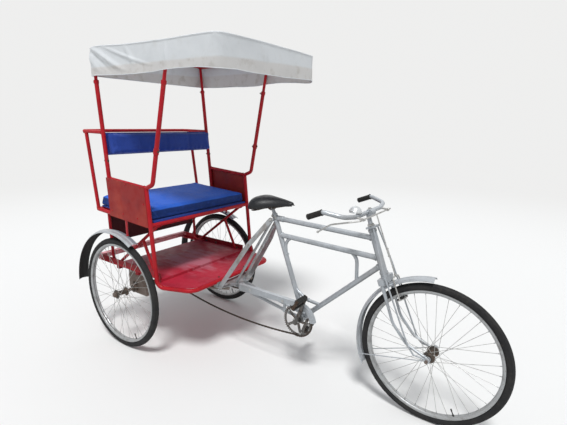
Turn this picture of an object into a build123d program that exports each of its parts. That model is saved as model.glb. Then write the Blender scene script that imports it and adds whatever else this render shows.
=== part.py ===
from build123d import *
from math import atan2, cos, hypot, pi, radians, sin, sqrt
import os

os.makedirs("parts", exist_ok=True)

# Passenger tricycle: a roadster front half joined to a two-seat carriage.
# Millimetres. Built with x = 0 at the rear axle, +X forward, +Y to the
# rider's left, z = 0 on the ground; the last lines shift it to its origin.

# Wheels
WHEEL_R = 356.0          # over the tyre
TYRE_W = 38.0
TYRE_WIDEST, TYRE_CROWN, TYRE_BEAD_IN = 0.5, 0.4, 4.0   # shares of its height and half width, then mm
RIM_H = 16.0             # radial height of the rim
RIM_W = 32.0
RIM_INSET = 34.0         # tyre crown down to the rim's edge
RIM_EDGE = 9.0           # height of the rim's side walls
RIM_WELL = 5.0           # hollow along the middle of the rim's inner face
SPOKES = 36
SPOKE_D = 2.6
SPOKE_CROSS = 60.0       # degrees a spoke leads its hub hole
HUB_FLANGE_R = 29.0
HUB_FLANGE_T = 3.0
HUB_HALF = 33.0          # flange centre from the wheel plane
HUB_BARREL_R = 17.0
HUB_END = 42.0           # hub face from the wheel plane
WHEELBASE = 1809.0
TRACK = 911.0
AXLE_Z = WHEEL_R
FIT = 0.08               # running fit at pins and bearings, radial
SEAT_GAP = 0.3           # gap where a piece rests on another

# Axles
REAR_AXLE_D = 20.0
FRONT_AXLE_D = 9.5
AXLE_NUT_D = 17.0
AXLE_NUT_T = 10.0

# Cycle frame
BB_X, BB_Z = 1085.0, 335.0
BB_SHELL_D, BB_SHELL_W = 42.0, 68.0
SPINDLE_D = 17.0
SEAT_LUG_X, SEAT_LUG_Z = 876.0, 893.0
HEAD_ANGLE = 70.0
HEAD_BACK = 246.0                   # steering axis at the crown, behind the front axle
HEAD_X, HEAD_Z = WHEELBASE - HEAD_BACK, 665.0
HEAD_LOW, HEAD_HIGH = 44.0, 272.0   # head tube ends, along the axis from there
HEAD_D, HEAD_BORE = 37.0, 30.0
CUP_D, CUP_H = 43.0, 11.0
MAIN_D = 28.6
TOP1_AT_HEAD, TOP2_AT_HEAD, DOWN_AT_HEAD = 226.0, 122.0, 88.0
TOP2_ON_SEAT_TUBE = 797.0           # height where the lower top tube starts
BRACE_D = 19.0
BRACE_R = 59.0
BRACE_RUN = 118.0                   # along the lower top tube, from the seat tube
BRACE_DROP = 120.0                  # down the seat tube
DOWN_BRACE_BACK, DOWN_BRACE_RUN = 245.0, 80.0
LOW_BRACE_Z, LOW_BRACE_KNEE, LOW_BRACE_END = 497.0, (13.0, 112.0), 112.0
SEAT_CLAMP_D, SEAT_CLAMP_L = 34.0, 46.0
LUG_SLEEVE_D, LUG_SLEEVE_L = 33.0, 54.0
POST_SUNK, POST_OUT = 58.0, 30.0    # seat post inside and above the seat tube
SEAT_POST_D = 25.0

# Saddle, from the seat lug
SADDLE_CLAMP_AHEAD, SADDLE_CLAMP_UP = -25.0, 59.0
SADDLE_CLAMP_D, SADDLE_CLAMP_HALF = 24.0, 22.0
SADDLE_SECTIONS = (
    # ahead of the lug, half width, top and underside above the lug
    (-176.0, 74.0, 75.0, 33.0),
    (-146.0, 104.0, 103.0, 29.0),
    (-86.0, 108.0, 125.0, 33.0),
    (-6.0, 66.0, 127.0, 57.0),
    (74.0, 30.0, 119.0, 73.0),
    (128.0, 17.0, 111.0, 83.0),
)

# Drive
CHAIN_Y = -60.0
PITCH = 12.7
RING_TEETH, SPROCKET_TEETH = 46, 22
RING_T = 2.6
RING_BAND = 15.0         # pitch circle down to the ring's opening
SPIDER_ARMS, SPIDER_W, SPIDER_T = 5, 15.0, 4.0
SPROCKET_BOSS_R, SPROCKET_BOSS_L = 19.0, 26.0
CHAIN_W, CHAIN_H = 8.6, 8.6
CHAIN_SLOT = 4.6
CHAIN_TIP_GAP = 0.9
CHAIN_SAG = 50.0
CHAIN_TURN = -9.0        # degrees past the tangent point where the slack run leaves
CRANK_LEN, CRANK_W, CRANK_T = 165.0, 19.0, 13.0
CRANK_ANGLE = 69.0
CRANK_Y = 84.0
CRANK_BOSS_R, CRANK_EYE_R = 16.0, 12.5
PEDAL_AXLE_D, PEDAL_BARREL_D = 9.0, 18.0
PEDAL_BLOCK_W, PEDAL_PLATE_T = 22.0, 2.7
TOOTH = 3.2
PEDAL_W, PEDAL_L, PEDAL_H = 92.0, 66.0, 26.0
PEDAL_TILT = 60.0
PEDAL_GAP = 7.0
GUARD_Y = -71.0          # outer face
GUARD_T = 2.0
GUARD_FLANGE = 24.0
GUARD_H_REAR, GUARD_H_FRONT = 44.0, 62.0
GUARD_REAR_X = 652.0
GUARD_R = 113.0
GUARD_HOOK, GUARD_MIDDLE = 8.0, 58.0     # degrees round the ring, at the hook's end and half way
GUARD_RISE = 6.0
GUARD_TABS = (742.0, 984.0)
TAB_W, TAB_T = 18.0, 3.0

# Fork, bar
CROWN_BELOW = 14.0                   # crown's top below the head tube
RACE_GAP, LOCKNUT_H, STEERER_OUT = 1.0, 8.0, 22.0
FORK_Y = 55.0
BLADE_D, BLADE_TIP_D = 21.0, 14.0
CROWN_L, CROWN_H, CROWN_R = 34.0, 30.0, 10.0
CROWN_OVER = 27.0                    # crown's width beyond the blades' centre lines
STEERER_D = 25.4
DUPLEX_D = 8.0
DUPLEX_EYE_T = 9.0
DROPOUT_T = 5.0
STAY_EYE_T = 6.0
STEM_D = 22.2
BAR_Z_ALONG = 357.0      # bar centre along the steering axis
BAR_D = 22.2
GRIP_D, GRIP_L, GRIP_OVER = 31.0, 74.0, 8.0
BAR_BENDS = (
    # ahead of the stem's top, out to the side, up from it
    (5.0, 150.0, 5.5), (-13.0, 236.0, 15.5), (-101.0, 272.0, 34.5), (-173.0, 277.0, 4.5))
BAR_RADII = (40.0, 45.0, 60.0)
BAR_CLAMP_D, BAR_CLAMP_W = 38.0, 44.0
BAR_CLAMP_AHEAD, BAR_CLAMP_UP = 15.0, 4.5
LEVER_D = 8.0
CROSS_AHEAD, CROSS_UP, CROSS_RIGHT, CROSS_LEFT = 47.0, -0.5, 192.0, 182.0
LEVER_BENDS = ((-158.0, -214.0, -79.5), (-89.0, -216.0, -32.5), (-1.0, -212.0, -10.5))
LEVER_RADII = (60.0, 40.0)
HOOK_Y, HOOK_D, HOOK_AHEAD, HOOK_UP = 150.0, 11.0, 7.0, 3.5
PULL_D, ADJUSTER_D, ADJUSTER_AT, ADJUSTER_L = 6.0, 11.0, 0.62, 0.12
STIRRUP_BACK, STIRRUP_UP, STIRRUP_Y = 203.0, 350.0, 37.0     # from the front axle
STIRRUP_D, STIRRUP_R = 7.0, 16.0
SHOE_L, SHOE_W, SHOE_T, SHOE_Y = 44.0, 11.0, 8.0, 16.0
SHOE_ANGLE, SHOE_INSET = 123.0, 12.5   # round the wheel, and inside the rim
BELL_D, BELL_H, BELL_RIM_H = 56.0, 28.0, 10.0
BELL_AT = (-13.0, -120.0, 20.6)        # underside of its rim, from the stem's top
BELL_FOOT_D, BELL_FOOT_H = 16.0, 12.0

# Slim outer stays of the fork
CLIP_T, CLIP_W, CLIP_L, CLIP_R, CLIP_AHEAD = 9.0, 68.0, 56.0, 12.0, 8.0
STAY_TOP_Y, STAY_TOP_AHEAD = 27.0, 20.0
KNEE_S, KNEE_RUN = -190.0, 70.0      # where the fork's rake begins, along the axis
RAKE_BACK, RAKE_UP = 105.0, 42.0     # end of the rake, from the axle
RAKE_RADII = (95.0, 80.0)
DUPLEX_KNEE = (-1.0, 83.0)           # from the crown
DUPLEX_RAKE = ((-95.0, 42.0), (-65.0, 6.0), (-4.0, 1.0))   # from the axle
DUPLEX_EYE_R, STAY_EYE_R, AXLE_OUT = 11.0, 13.0, 4.0

# Chassis
RAIL_Y = 365.0
RAIL_Z = 515.0
RAIL_H, RAIL_W = 30.0, 30.0
RAIL_T = 4.0
REAR_X = -357.0
RAIL_FRONT_X = 300.0
TUBE_D = 25.0
DECK_TOP, DECK_T = 500.0, 9.0
STEP_TOP, STEP_T = 483.0, 2.5
STEP_X = 316.0
BEAM_Y = 215.0
HANGER_Y, HANGER_T = 346.0, 8.0
HANGER_X0, HANGER_X1 = -64.0, 112.0
DRAWBAR_D, DRAWBAR_Y, DRAWBAR_Z = 20.0, 108.0, 408.0
HOOP_X = 548.0           # centre line of the platform's front tube
HOOP_Z = 468.0
HOOP_Y_FRONT = 352.0
HOOP_Y_SIDE = 431.0
HOOP_FOOT_X = 334.0
HOOP_FOOT_R, HOOP_CORNER_R = 48.0, 70.0
CROSS_X = (-140.0, 60.0, 276.0)
CROSS_W, CROSS_H, REAR_FLANGE = 30.0, 22.0, 40.0
DECK_REAR_X = -152.0
STEP_Y = 396.0
STEP_CORNER = ((-62.0, 12.0), (-16.0, -22.0), (0.0, -66.0))   # from the front tube's bend
BEAM_W, BEAM_H = 28.0, 26.0
HANGER_DROP, HANGER_FLANGE = 34.0, 40.0
HOUSING_R, HOUSING_L = 26.0, 44.0
DRAWBAR_IN = 22.0
REAR_AXLE_OUT = 14.0     # axle beyond the hub's face

# Rear stays, from the seat lug to a yoke behind the platform's front tube
STAY_D = 16.0
STAY_END_X, STAY_END_Y, STAY_END_Z = HOOP_X + 54.0, 38.0, HOOP_Z - 31.0
CHAINSTAY_D = 20.0
CHAINSTAY_Y_BB = 26.0
BRIDGE_BACK, BRIDGE_D = 105.0, 14.0
STRAP_W, STRAP_T = 28.0, 5.0
STRAP_BACK, STRAP_DOWN, STRAP_OUT = 114.0, 161.0, 112.0
STRAP_BEND = (SEAT_LUG_X - STRAP_BACK, STRAP_OUT, SEAT_LUG_Z - STRAP_DOWN)
STRAP_END = (HOOP_X + 20.0, 151.0, STAY_END_Z - 4.0)
STAY_TOP_BACK, STAY_TOP_DOWN = 4.0, 6.0
YOKE_T = 5.0
YOKE_EDGE, YOKE_AHEAD = 16.0, 34.0

# Carriage
SIDE_Y = 431.0
CUSHION_SIDE_GAP = 24.0  # side tube's centre line to the cushion
CUSHION_W = 2 * (SIDE_Y - CUSHION_SIDE_GAP)
SEAT_REAR_X, SEAT_REAR_Z = -222.0, 869.0
SEAT_FRONT_X, SEAT_FRONT_Z = 298.0, 836.0
ARM_FRONT_X, ARM_FRONT_Z = 276.0, 1053.0
ARM_REAR_Z = ARM_FRONT_Z + 26.0
PANEL_T = 2.0
PANEL_RISE, PANEL_DROP = 6.0, 11.5   # above the arm's centre line, below the seat rail's
CUSHION_T = 62.0
CUSHION_REAR_X, CUSHION_FRONT_X = -206.0, 272.0
BOARD_T = 9.0
HANDRAIL_Z, HANDRAIL_REAR_X = 1356.0, -345.0
BACK_Z0, BACK_Z1, BACK_T = 1220.0, 1354.0, 48.0
BACK_BOARD_T = 9.0
CUSHION_CORNER_R = 14.0
LEG_X_LOW = -200.0
LEG_BEND, LEG_TOE = 45.0, 110.0
D1_FOOT = 60.0           # long brace's foot, ahead of the leg
APRON_Z = 628.0
BRACE_TUBE_D = 20.0
BRACE_FOOT_X, BRACE_SHARE = 236.0, 0.62
APRON_BACK, APRON_IN = 28.0, 12.0
HAND_D, HAND_R, HAND_RISE = 22.0, 40.0, 4.0
UPRIGHT_TOP_X, UPRIGHT_D = -297.0, 22.0
ARM_D = 22.5

# Canopy
POST_D, POST_THIN_D = 25.0, 19.0
REAR_POST_FOOT_X, REAR_POST_TOP_X = -60.0, -159.5
FRONT_POST_TOP_X, FRONT_POST_TOP_Y = 494.0, 414.0
REAR_STEP_Z, FRONT_STEP_Z = 1657.0, 1632.0   # thick tube below, thin tube above
COLLAR_Z, COLLAR_L, COLLAR_D = 1264.0, 28.0, 31.0
KNEE_AHEAD, KNEE_UP, KNEE_R = 60.0, 26.0, 34.0
CANOPY_X0, CANOPY_X1 = -196.0, 862.0
CANOPY_CORNER = 60.0     # rounding of its upright corners
RAIL_INSET, BOW_INSET = 26.0, 36.0
CANOPY_Y_REAR, CANOPY_Y_FRONT = 458.0, 428.0
CANOPY_HEM, CANOPY_TOP, CANOPY_CROWN = 1676.0, 1836.0, 22.0
CANOPY_T = 4.0
BOW_D = 16.0
CANOPY_FOLD = 0.55       # share of the half width where the roof's outer panels start
FOLD_RISE = 0.8          # share of the crown's rise reached there
BOWS, BOW_R = 4, 300.0

# Fenders
FENDER_R, FENDER_DX, FENDER_DZ = 411.0, -40.0, -4.0
FENDER_W, FENDER_DROP, FENDER_T = 66.0, 16.0, 2.0
FENDER_SECTION = (
    # share of the half width, share of the drop: from the edge to the bead along the middle
    (1.0, 1.0), (0.72, 0.42), (0.24, 0.16), (0.14, 0.0))
FENDER_STRUT_D, FENDER_STRUT_X, FENDER_STRUT_SINK = 14.0, 80.0, 6.0
FENDER_STRUT_Y, FENDER_STRUT_IN = 8.0, 16.5    # outside the seat's side tube, inside the wheel
FENDER_A0, FENDER_A1 = 60.0, 180.0
FRONT_FENDER_R = 388.0
FRONT_FENDER_W = 58.0
FRONT_FENDER_A0, FRONT_FENDER_A1 = 92.0, 206.0
FENDER_STAY_D, FENDER_STAY_BACK = 5.0, 9.0      # degrees before the fender's rear end


# Helpers
def rod(p, q, d):
    """A round bar of diameter d from p to q."""
    p, q = Vector(*p), Vector(*q)
    axis = q - p
    return Solid.make_cylinder(d / 2, axis.length, Plane(origin=p, z_dir=axis.normalized()))


def pipe(points, radii, d):
    """A bent tube: straight runs joined by arcs."""
    path = FilletPolyline(*points, radius=radii)
    first = path.edges()[0]
    start = Plane(origin=path @ 0, z_dir=path % 0)
    return sweep(start * Circle(d / 2), path=path).solid()


def ball(p, d):
    return Solid.make_sphere(d / 2, Plane(origin=Vector(*p)))


def box_at(x0, x1, y0, y1, z0, z1):
    return Solid.make_box(x1 - x0, y1 - y0, z1 - z0, Plane(origin=(x0, y0, z0)))


def mirror_y(shape):
    return shape.mirror(Plane.XZ)


def lerp(a, b, t):
    return tuple(u + (v - u) * t for u, v in zip(a, b))


def biggest(shape):
    """The main solid of a cut, without the scraps beyond the cutter."""
    return max(shape.solids(), key=lambda s: s.volume)


def fuse(parts):
    first, rest = parts[0], parts[1:]
    return first.fuse(*rest) if rest else first


def plate(points, thickness, plane):
    """A flat plate: a polygon drawn in a plane, thickened along its normal."""
    return extrude(plane * Polygon(*points, align=None), thickness).solid()


def side_plane(y):
    """The upright plane at y, with x forward and z up in it, thickening towards -y."""
    return Plane(origin=(0, y, 0), x_dir=(1, 0, 0), z_dir=(0, -1, 0))


HEAD_DIR = Vector(-cos(radians(HEAD_ANGLE)), 0, sin(radians(HEAD_ANGLE)))


def on_head(s, y=0.0):
    """A point of the steering axis, s along it from the crown."""
    return (HEAD_X + HEAD_DIR.X * s, y, HEAD_Z + HEAD_DIR.Z * s)


def on_seat_tube(z):
    t = (z - BB_Z) / (SEAT_LUG_Z - BB_Z)
    return (BB_X + (SEAT_LUG_X - BB_X) * t, 0.0, z)


def cloth_inside(y):
    """Height of the roof's underside at a distance y from the middle."""
    edge = CANOPY_Y_REAR - CANOPY_T
    share = min(1.0, (edge - abs(y)) / (edge * (1 - CANOPY_FOLD)))
    return CANOPY_TOP - CANOPY_T + CANOPY_CROWN * FOLD_RISE * share


CANOPY_RAIL_Z = cloth_inside(SIDE_Y) - SEAT_GAP - BOW_D


def on_rear_post(z, y=0.0):
    t = (z - SEAT_REAR_Z) / (CANOPY_RAIL_Z - SEAT_REAR_Z)
    return (REAR_POST_FOOT_X + (REAR_POST_TOP_X - REAR_POST_FOOT_X) * t, y, z)


def on_seat_rail(x, y=0.0):
    t = (x - SEAT_REAR_X) / (SEAT_FRONT_X - SEAT_REAR_X)
    return (x, y, SEAT_REAR_Z + (SEAT_FRONT_Z - SEAT_REAR_Z) * t)


def on_front_upright(z, y=0.0):
    t = (z - HOOP_Z) / (ARM_FRONT_Z - HOOP_Z)
    return (HOOP_FOOT_X + (ARM_FRONT_X - HOOP_FOOT_X) * t, y, z)


parts = {}

# Wheels
RIM_R = WHEEL_R - RIM_INSET          # rim's outer edge
RIM_IN = RIM_R - RIM_H


def turned(section, angle=360.0):
    """Turns a section, drawn as (radius, axial), about the wheel's axle."""
    face = Plane(origin=(0, 0, 0), x_dir=(1, 0, 0), z_dir=(0, -1, 0)) * section
    return revolve(face, Axis.Z, angle).solid()


def tyre():
    half, r0, r1 = TYRE_W / 2, RIM_R + SEAT_GAP, WHEEL_R
    mid = r0 + (r1 - r0) * TYRE_WIDEST
    crown = half * TYRE_CROWN
    bead = RIM_W / 2 - TYRE_BEAD_IN
    return turned(Polygon(
        (r0, -bead), (mid, -half), (r1, -crown), (r1, crown), (mid, half), (r0, bead), align=None))


def rim():
    half = RIM_W / 2
    return turned(Polygon(
        (RIM_R, -half), (RIM_R - RIM_EDGE, -half), (RIM_IN, -half * 0.55), (RIM_IN + RIM_WELL, 0),
        (RIM_IN, half * 0.55), (RIM_R - RIM_EDGE, half), (RIM_R, half), align=None))


def hub(bore):
    barrel = Solid.make_cylinder(HUB_BARREL_R, 2 * HUB_END, Plane(origin=(0, 0, -HUB_END)))
    flanges = [
        Solid.make_cylinder(HUB_FLANGE_R, HUB_FLANGE_T, Plane(origin=(0, 0, h - HUB_FLANGE_T / 2)))
        for h in (-HUB_HALF, HUB_HALF)]
    hole = Solid.make_cylinder(bore / 2, 4 * HUB_END, Plane(origin=(0, 0, -2 * HUB_END)))
    return (barrel.fuse(*flanges) - hole).solid()


def spokes(wheel_rim, wheel_hub):
    """Square wires from the flanges' edges to the rim, crossing in turn."""
    made = []
    for i in range(SPOKES):
        side = 1 if i % 2 else -1
        lead = SPOKE_CROSS if (i // 2) % 2 else -SPOKE_CROSS
        a_rim = radians(360.0 * i / SPOKES)
        a_hub = a_rim + radians(lead)
        r_hub, r_rim = HUB_FLANGE_R - SPOKE_D, RIM_IN + RIM_WELL
        p = Vector(r_hub * cos(a_hub), r_hub * sin(a_hub), side * HUB_HALF)
        q = Vector(r_rim * cos(a_rim), r_rim * sin(a_rim), side * SPOKE_D)
        bar = Plane(origin=p, z_dir=(q - p).normalized())
        wire = extrude(bar * Rectangle(SPOKE_D, SPOKE_D), (q - p).length).solid()
        made.append(biggest(wire - wheel_rim - wheel_hub))
    return made


WHEELS = (
    # name, x, y, hub bore
    ("front", WHEELBASE, 0.0, FRONT_AXLE_D + 2 * FIT),
    ("rear_right", 0.0, -TRACK / 2, REAR_AXLE_D + 2 * FIT),
    ("rear_left", 0.0, TRACK / 2, REAR_AXLE_D + 2 * FIT),
)
one_tyre, one_rim = tyre(), rim()
one_set = spokes(one_rim, hub(FRONT_AXLE_D))
for name, x, y, bore in WHEELS:
    at_wheel = Plane(origin=(x, y, AXLE_Z), x_dir=(1, 0, 0), z_dir=(0, -1, 0)).location
    parts[f"{name}_tyre"] = [at_wheel * one_tyre]
    parts[f"{name}_rim"] = [at_wheel * one_rim]
    parts[f"{name}_spokes"] = [at_wheel * wire for wire in one_set]
    parts[f"{name}_hub"] = [at_wheel * hub(bore)]

# Cycle frame
seat_lug = (SEAT_LUG_X, 0.0, SEAT_LUG_Z)
bb = (BB_X, 0.0, BB_Z)
top1 = on_head(TOP1_AT_HEAD)
top2 = on_head(TOP2_AT_HEAD)
down = on_head(DOWN_AT_HEAD)
top2_rear = on_seat_tube(TOP2_ON_SEAT_TUBE)


def on_tube(p, q, x):
    return lerp(p, q, (x - p[0]) / (q[0] - p[0]))


brace_x = HEAD_X - DOWN_BRACE_BACK
braces = (
    (on_tube(top2_rear, top2, top2_rear[0] + BRACE_RUN), on_tube(top2_rear, top2, top2_rear[0] + 34.0),
     on_seat_tube(TOP2_ON_SEAT_TUBE - BRACE_DROP)),
    (on_tube(top2_rear, top2, brace_x), on_tube(top2_rear, top2, brace_x + DOWN_BRACE_RUN),
     on_tube(bb, down, brace_x + DOWN_BRACE_RUN + 4.0)),
    (on_seat_tube(LOW_BRACE_Z), (BB_X + LOW_BRACE_KNEE[0], 0.0, BB_Z + LOW_BRACE_KNEE[1]),
     on_tube(bb, down, BB_X + LOW_BRACE_END)),
)

lug_low, lug_high = on_seat_tube(SEAT_LUG_Z - SEAT_CLAMP_L / 2), on_seat_tube(SEAT_LUG_Z + SEAT_CLAMP_L / 2)
frame_parts = [
    rod(on_head(HEAD_LOW), on_head(HEAD_HIGH), HEAD_D),
    rod(on_head(HEAD_LOW), on_head(HEAD_LOW + CUP_H), CUP_D),
    rod(on_head(HEAD_HIGH - CUP_H), on_head(HEAD_HIGH), CUP_D),
    rod(bb, on_seat_tube(SEAT_LUG_Z + SEAT_CLAMP_L / 2 - 1.0), MAIN_D),
    rod(lug_low, lug_high, SEAT_CLAMP_D),
    rod(seat_lug, on_tube(seat_lug, top1, SEAT_LUG_X + LUG_SLEEVE_L), LUG_SLEEVE_D),
    rod(seat_lug, top1, MAIN_D),
    rod(top2_rear, top2, MAIN_D),
    rod(bb, down, MAIN_D),
    rod((BB_X, BB_SHELL_W / 2, BB_Z), (BB_X, -BB_SHELL_W / 2, BB_Z), BB_SHELL_D),
] + [pipe(path, BRACE_R, BRACE_D) for path in braces]
head_bore = fuse([
    rod(on_head(HEAD_LOW + CUP_H), on_head(HEAD_HIGH - CUP_H), HEAD_BORE),
    rod(on_head(HEAD_LOW - 5.0), on_head(HEAD_HIGH + 5.0), STEERER_D + 2 * FIT)])
bb_bore = rod((BB_X, BB_SHELL_W, BB_Z), (BB_X, -BB_SHELL_W, BB_Z), SPINDLE_D + 2 * FIT)
post_low = on_seat_tube(SEAT_LUG_Z - POST_SUNK - 2.0)
post_bore = rod(post_low, on_seat_tube(SEAT_LUG_Z + SEAT_CLAMP_L), SEAT_POST_D)
parts["cycle_frame"] = [(fuse(frame_parts) - head_bore - bb_bore - post_bore).solid()]

# Stays
stay_end = (STAY_END_X, STAY_END_Y, STAY_END_Z)
lug_side_y = SEAT_CLAMP_D / 2 + STAY_D / 2 + SEAT_GAP
stay_tops = (SEAT_LUG_X - STAY_TOP_BACK, lug_side_y, SEAT_LUG_Z - STAY_TOP_DOWN)


def strap(side):
    """A flat bar with its broad face turned out, in two straight runs."""
    top = (stay_tops[0] - 4.0, side * (lug_side_y + STAY_D / 2 + STRAP_T / 2 + SEAT_GAP), stay_tops[2])
    bend = (STRAP_BEND[0], side * STRAP_BEND[1], STRAP_BEND[2])
    end = (STRAP_END[0], side * STRAP_END[1], STRAP_END[2])
    runs = []
    for p, q in ((top, bend), (bend, end)):
        p, q = Vector(*p), Vector(*q)
        run = (q - p).normalized()
        across = run.cross(Vector(0, 1, 0)).normalized()
        plane = Plane(origin=p, x_dir=across, z_dir=run)
        runs.append(extrude(plane * Rectangle(STRAP_W, STRAP_T), (q - p).length).solid())
        out = across.cross(run)
        runs.append(rod(tuple(q - out * (STRAP_T / 2)), tuple(q + out * (STRAP_T / 2)), STRAP_W))
    return runs


stays = []
for side in (-1, 1):
    top = (stay_tops[0], side * stay_tops[1], stay_tops[2])
    end = (stay_end[0], side * stay_end[1], stay_end[2])
    stays.append(rod(top, end, STAY_D))
    stays.append(ball(top, STAY_D))
    stays += strap(side)
yoke_z = STAY_END_Z - YOKE_T / 2
yoke_half = [
    (HOOP_X - YOKE_EDGE, STRAP_END[1] + YOKE_EDGE), (STRAP_END[0] + 12.0, STRAP_END[1] + YOKE_EDGE),
    (STAY_END_X + YOKE_AHEAD, STAY_END_Y + 12.0)]
yoke = plate([(x, -y) for x, y in yoke_half] + yoke_half[::-1], YOKE_T, Plane(origin=(0, 0, yoke_z)))
spacer = YOKE_EDGE - 2.0
spacers = [
    box_at(HOOP_X - spacer, HOOP_X + spacer, y - spacer, y + spacer, STAY_END_Z, HOOP_Z)
    for y in (-STRAP_END[1], STRAP_END[1])]
rear_stays = fuse(stays + [yoke] + spacers)

stay_rear, stay_front = (STAY_END_X, STAY_END_Y, yoke_z - CHAINSTAY_D / 2), (BB_X, CHAINSTAY_Y_BB, BB_Z)
chainstays = [rod(stay_rear, stay_front, CHAINSTAY_D)]
chainstays.append(mirror_y(chainstays[0]))
bridge_end = on_tube(stay_rear, stay_front, BB_X - BRIDGE_BACK)
chainstays.append(rod(bridge_end, (bridge_end[0], -bridge_end[1], bridge_end[2]), BRIDGE_D))
chainstay = fuse(chainstays)
parts["chainstays"] = [biggest(chainstay - parts["cycle_frame"][0] - rear_stays - bb_bore)]

# Saddle
clamp_x, clamp_z = SEAT_LUG_X + SADDLE_CLAMP_AHEAD, SEAT_LUG_Z + SADDLE_CLAMP_UP
seat_post = fuse([
    rod(on_seat_tube(SEAT_LUG_Z - POST_SUNK), on_seat_tube(SEAT_LUG_Z + POST_OUT), SEAT_POST_D),
    rod(on_seat_tube(SEAT_LUG_Z + POST_OUT - 2.0), (clamp_x, 0.0, clamp_z), SEAT_POST_D * 0.8),
    rod((clamp_x, -SADDLE_CLAMP_HALF, clamp_z), (clamp_x, SADDLE_CLAMP_HALF, clamp_z), SADDLE_CLAMP_D)])
parts["seat_post"] = [seat_post.solid()]


def saddle_section(ahead, half, top, low):
    h = top - low
    plane = Plane(origin=(SEAT_LUG_X + ahead, 0, SEAT_LUG_Z + low), x_dir=(0, 1, 0), z_dir=(1, 0, 0))
    return plane * Polygon(
        (-half * 0.78, 0), (half * 0.78, 0), (half, h * 0.45), (half * 0.72, h * 0.88),
        (half * 0.3, h), (-half * 0.3, h), (-half * 0.72, h * 0.88), (-half, h * 0.45), align=None)


saddle = loft([saddle_section(*s) for s in SADDLE_SECTIONS], ruled=True)
parts["saddle"] = [biggest(saddle - seat_post)]

# Drive
ring_pitch_r = PITCH / (2 * sin(pi / RING_TEETH))
sprocket_pitch_r = PITCH / (2 * sin(pi / SPROCKET_TEETH))


def disc(x, y, z, r, t, bore=0.0):
    """A disc about a left-right axis, centred on y."""
    plane = Plane(origin=(x, y + t / 2, z), x_dir=(1, 0, 0), z_dir=(0, -1, 0))
    made = Solid.make_cylinder(r, t, plane)
    if bore:
        hole = Solid.make_cylinder(bore / 2, t + 2, Plane(origin=(x, y + t / 2 + 1, z), z_dir=(0, -1, 0)))
        made = (made - hole).solid()
    return made


def toothed(x, z, pitch_r, teeth, bore):
    """A chain wheel with straight-sided teeth."""
    tip, root, half = pitch_r + TOOTH, pitch_r - TOOTH, 180.0 / teeth
    points = []
    for i in range(teeth):
        a = 360.0 * i / teeth
        for r, da in ((root, -half * 0.62), (tip, -half * 0.3), (tip, half * 0.3), (root, half * 0.62)):
            points.append((r * cos(radians(a + da)), r * sin(radians(a + da))))
    plane = Plane(origin=(x, CHAIN_Y + RING_T / 2, z), x_dir=(1, 0, 0), z_dir=(0, -1, 0))
    wheel = extrude(plane * Polygon(*points, align=None), RING_T).solid()
    hole = disc(x, CHAIN_Y, z, bore / 2, RING_T + 2)
    return (wheel - hole).solid()


ring = toothed(BB_X, BB_Z, ring_pitch_r, RING_TEETH, 2 * (ring_pitch_r - RING_BAND))
spider = []
spider_r = ring_pitch_r - RING_BAND * 2 / 3
for k in range(SPIDER_ARMS):
    a = radians(CRANK_ANGLE + 360.0 * k / SPIDER_ARMS)
    plane = Plane(origin=(BB_X, CHAIN_Y - SPIDER_T, BB_Z), x_dir=(cos(a), 0, sin(a)), z_dir=(0, 1, 0))
    spider.append(extrude(
        plane * Pos(spider_r / 2, 0) * Rectangle(spider_r, SPIDER_W), SPIDER_T + RING_T / 2).solid())
crank_end = (BB_X + CRANK_LEN * cos(radians(CRANK_ANGLE)), BB_Z + CRANK_LEN * sin(radians(CRANK_ANGLE)))
crank_end_left = (2 * BB_X - crank_end[0], 2 * BB_Z - crank_end[1])


def crank_arm(y, end):
    """A flat forged arm between the spindle's boss and the pedal's eye."""
    x, z = end
    arm = Vector(x - BB_X, 0, z - BB_Z)
    plane = Plane(origin=(BB_X, y - CRANK_T / 2, BB_Z), x_dir=arm.normalized(), z_dir=(0, 1, 0))
    w0, w1 = CRANK_W, CRANK_W * 0.78
    side = Polygon((0, -w0 / 2), (CRANK_LEN, -w1 / 2), (CRANK_LEN, w1 / 2), (0, w0 / 2), align=None)
    bar = extrude(plane * side, CRANK_T).solid()
    return fuse([bar, disc(BB_X, y, BB_Z, CRANK_BOSS_R, CRANK_T + 3.0), disc(x, y, z, CRANK_EYE_R, CRANK_T)])


spindle = disc(BB_X, 0.0, BB_Z, SPINDLE_D / 2, 2 * CRANK_Y + CRANK_T)
right_arm = crank_arm(-CRANK_Y, crank_end)
left_arm = crank_arm(CRANK_Y, crank_end_left)
crankset = fuse([spindle, right_arm, left_arm] + spider)
eye_holes = [
    disc(crank_end[0], -CRANK_Y, crank_end[1], PEDAL_AXLE_D / 2 + FIT, CRANK_T + 4.0),
    disc(crank_end_left[0], CRANK_Y, crank_end_left[1], PEDAL_AXLE_D / 2 + FIT, CRANK_T + 4.0)]
parts["crankset"] = [(crankset.fuse(ring) - eye_holes[0] - eye_holes[1]).solid()]

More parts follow.
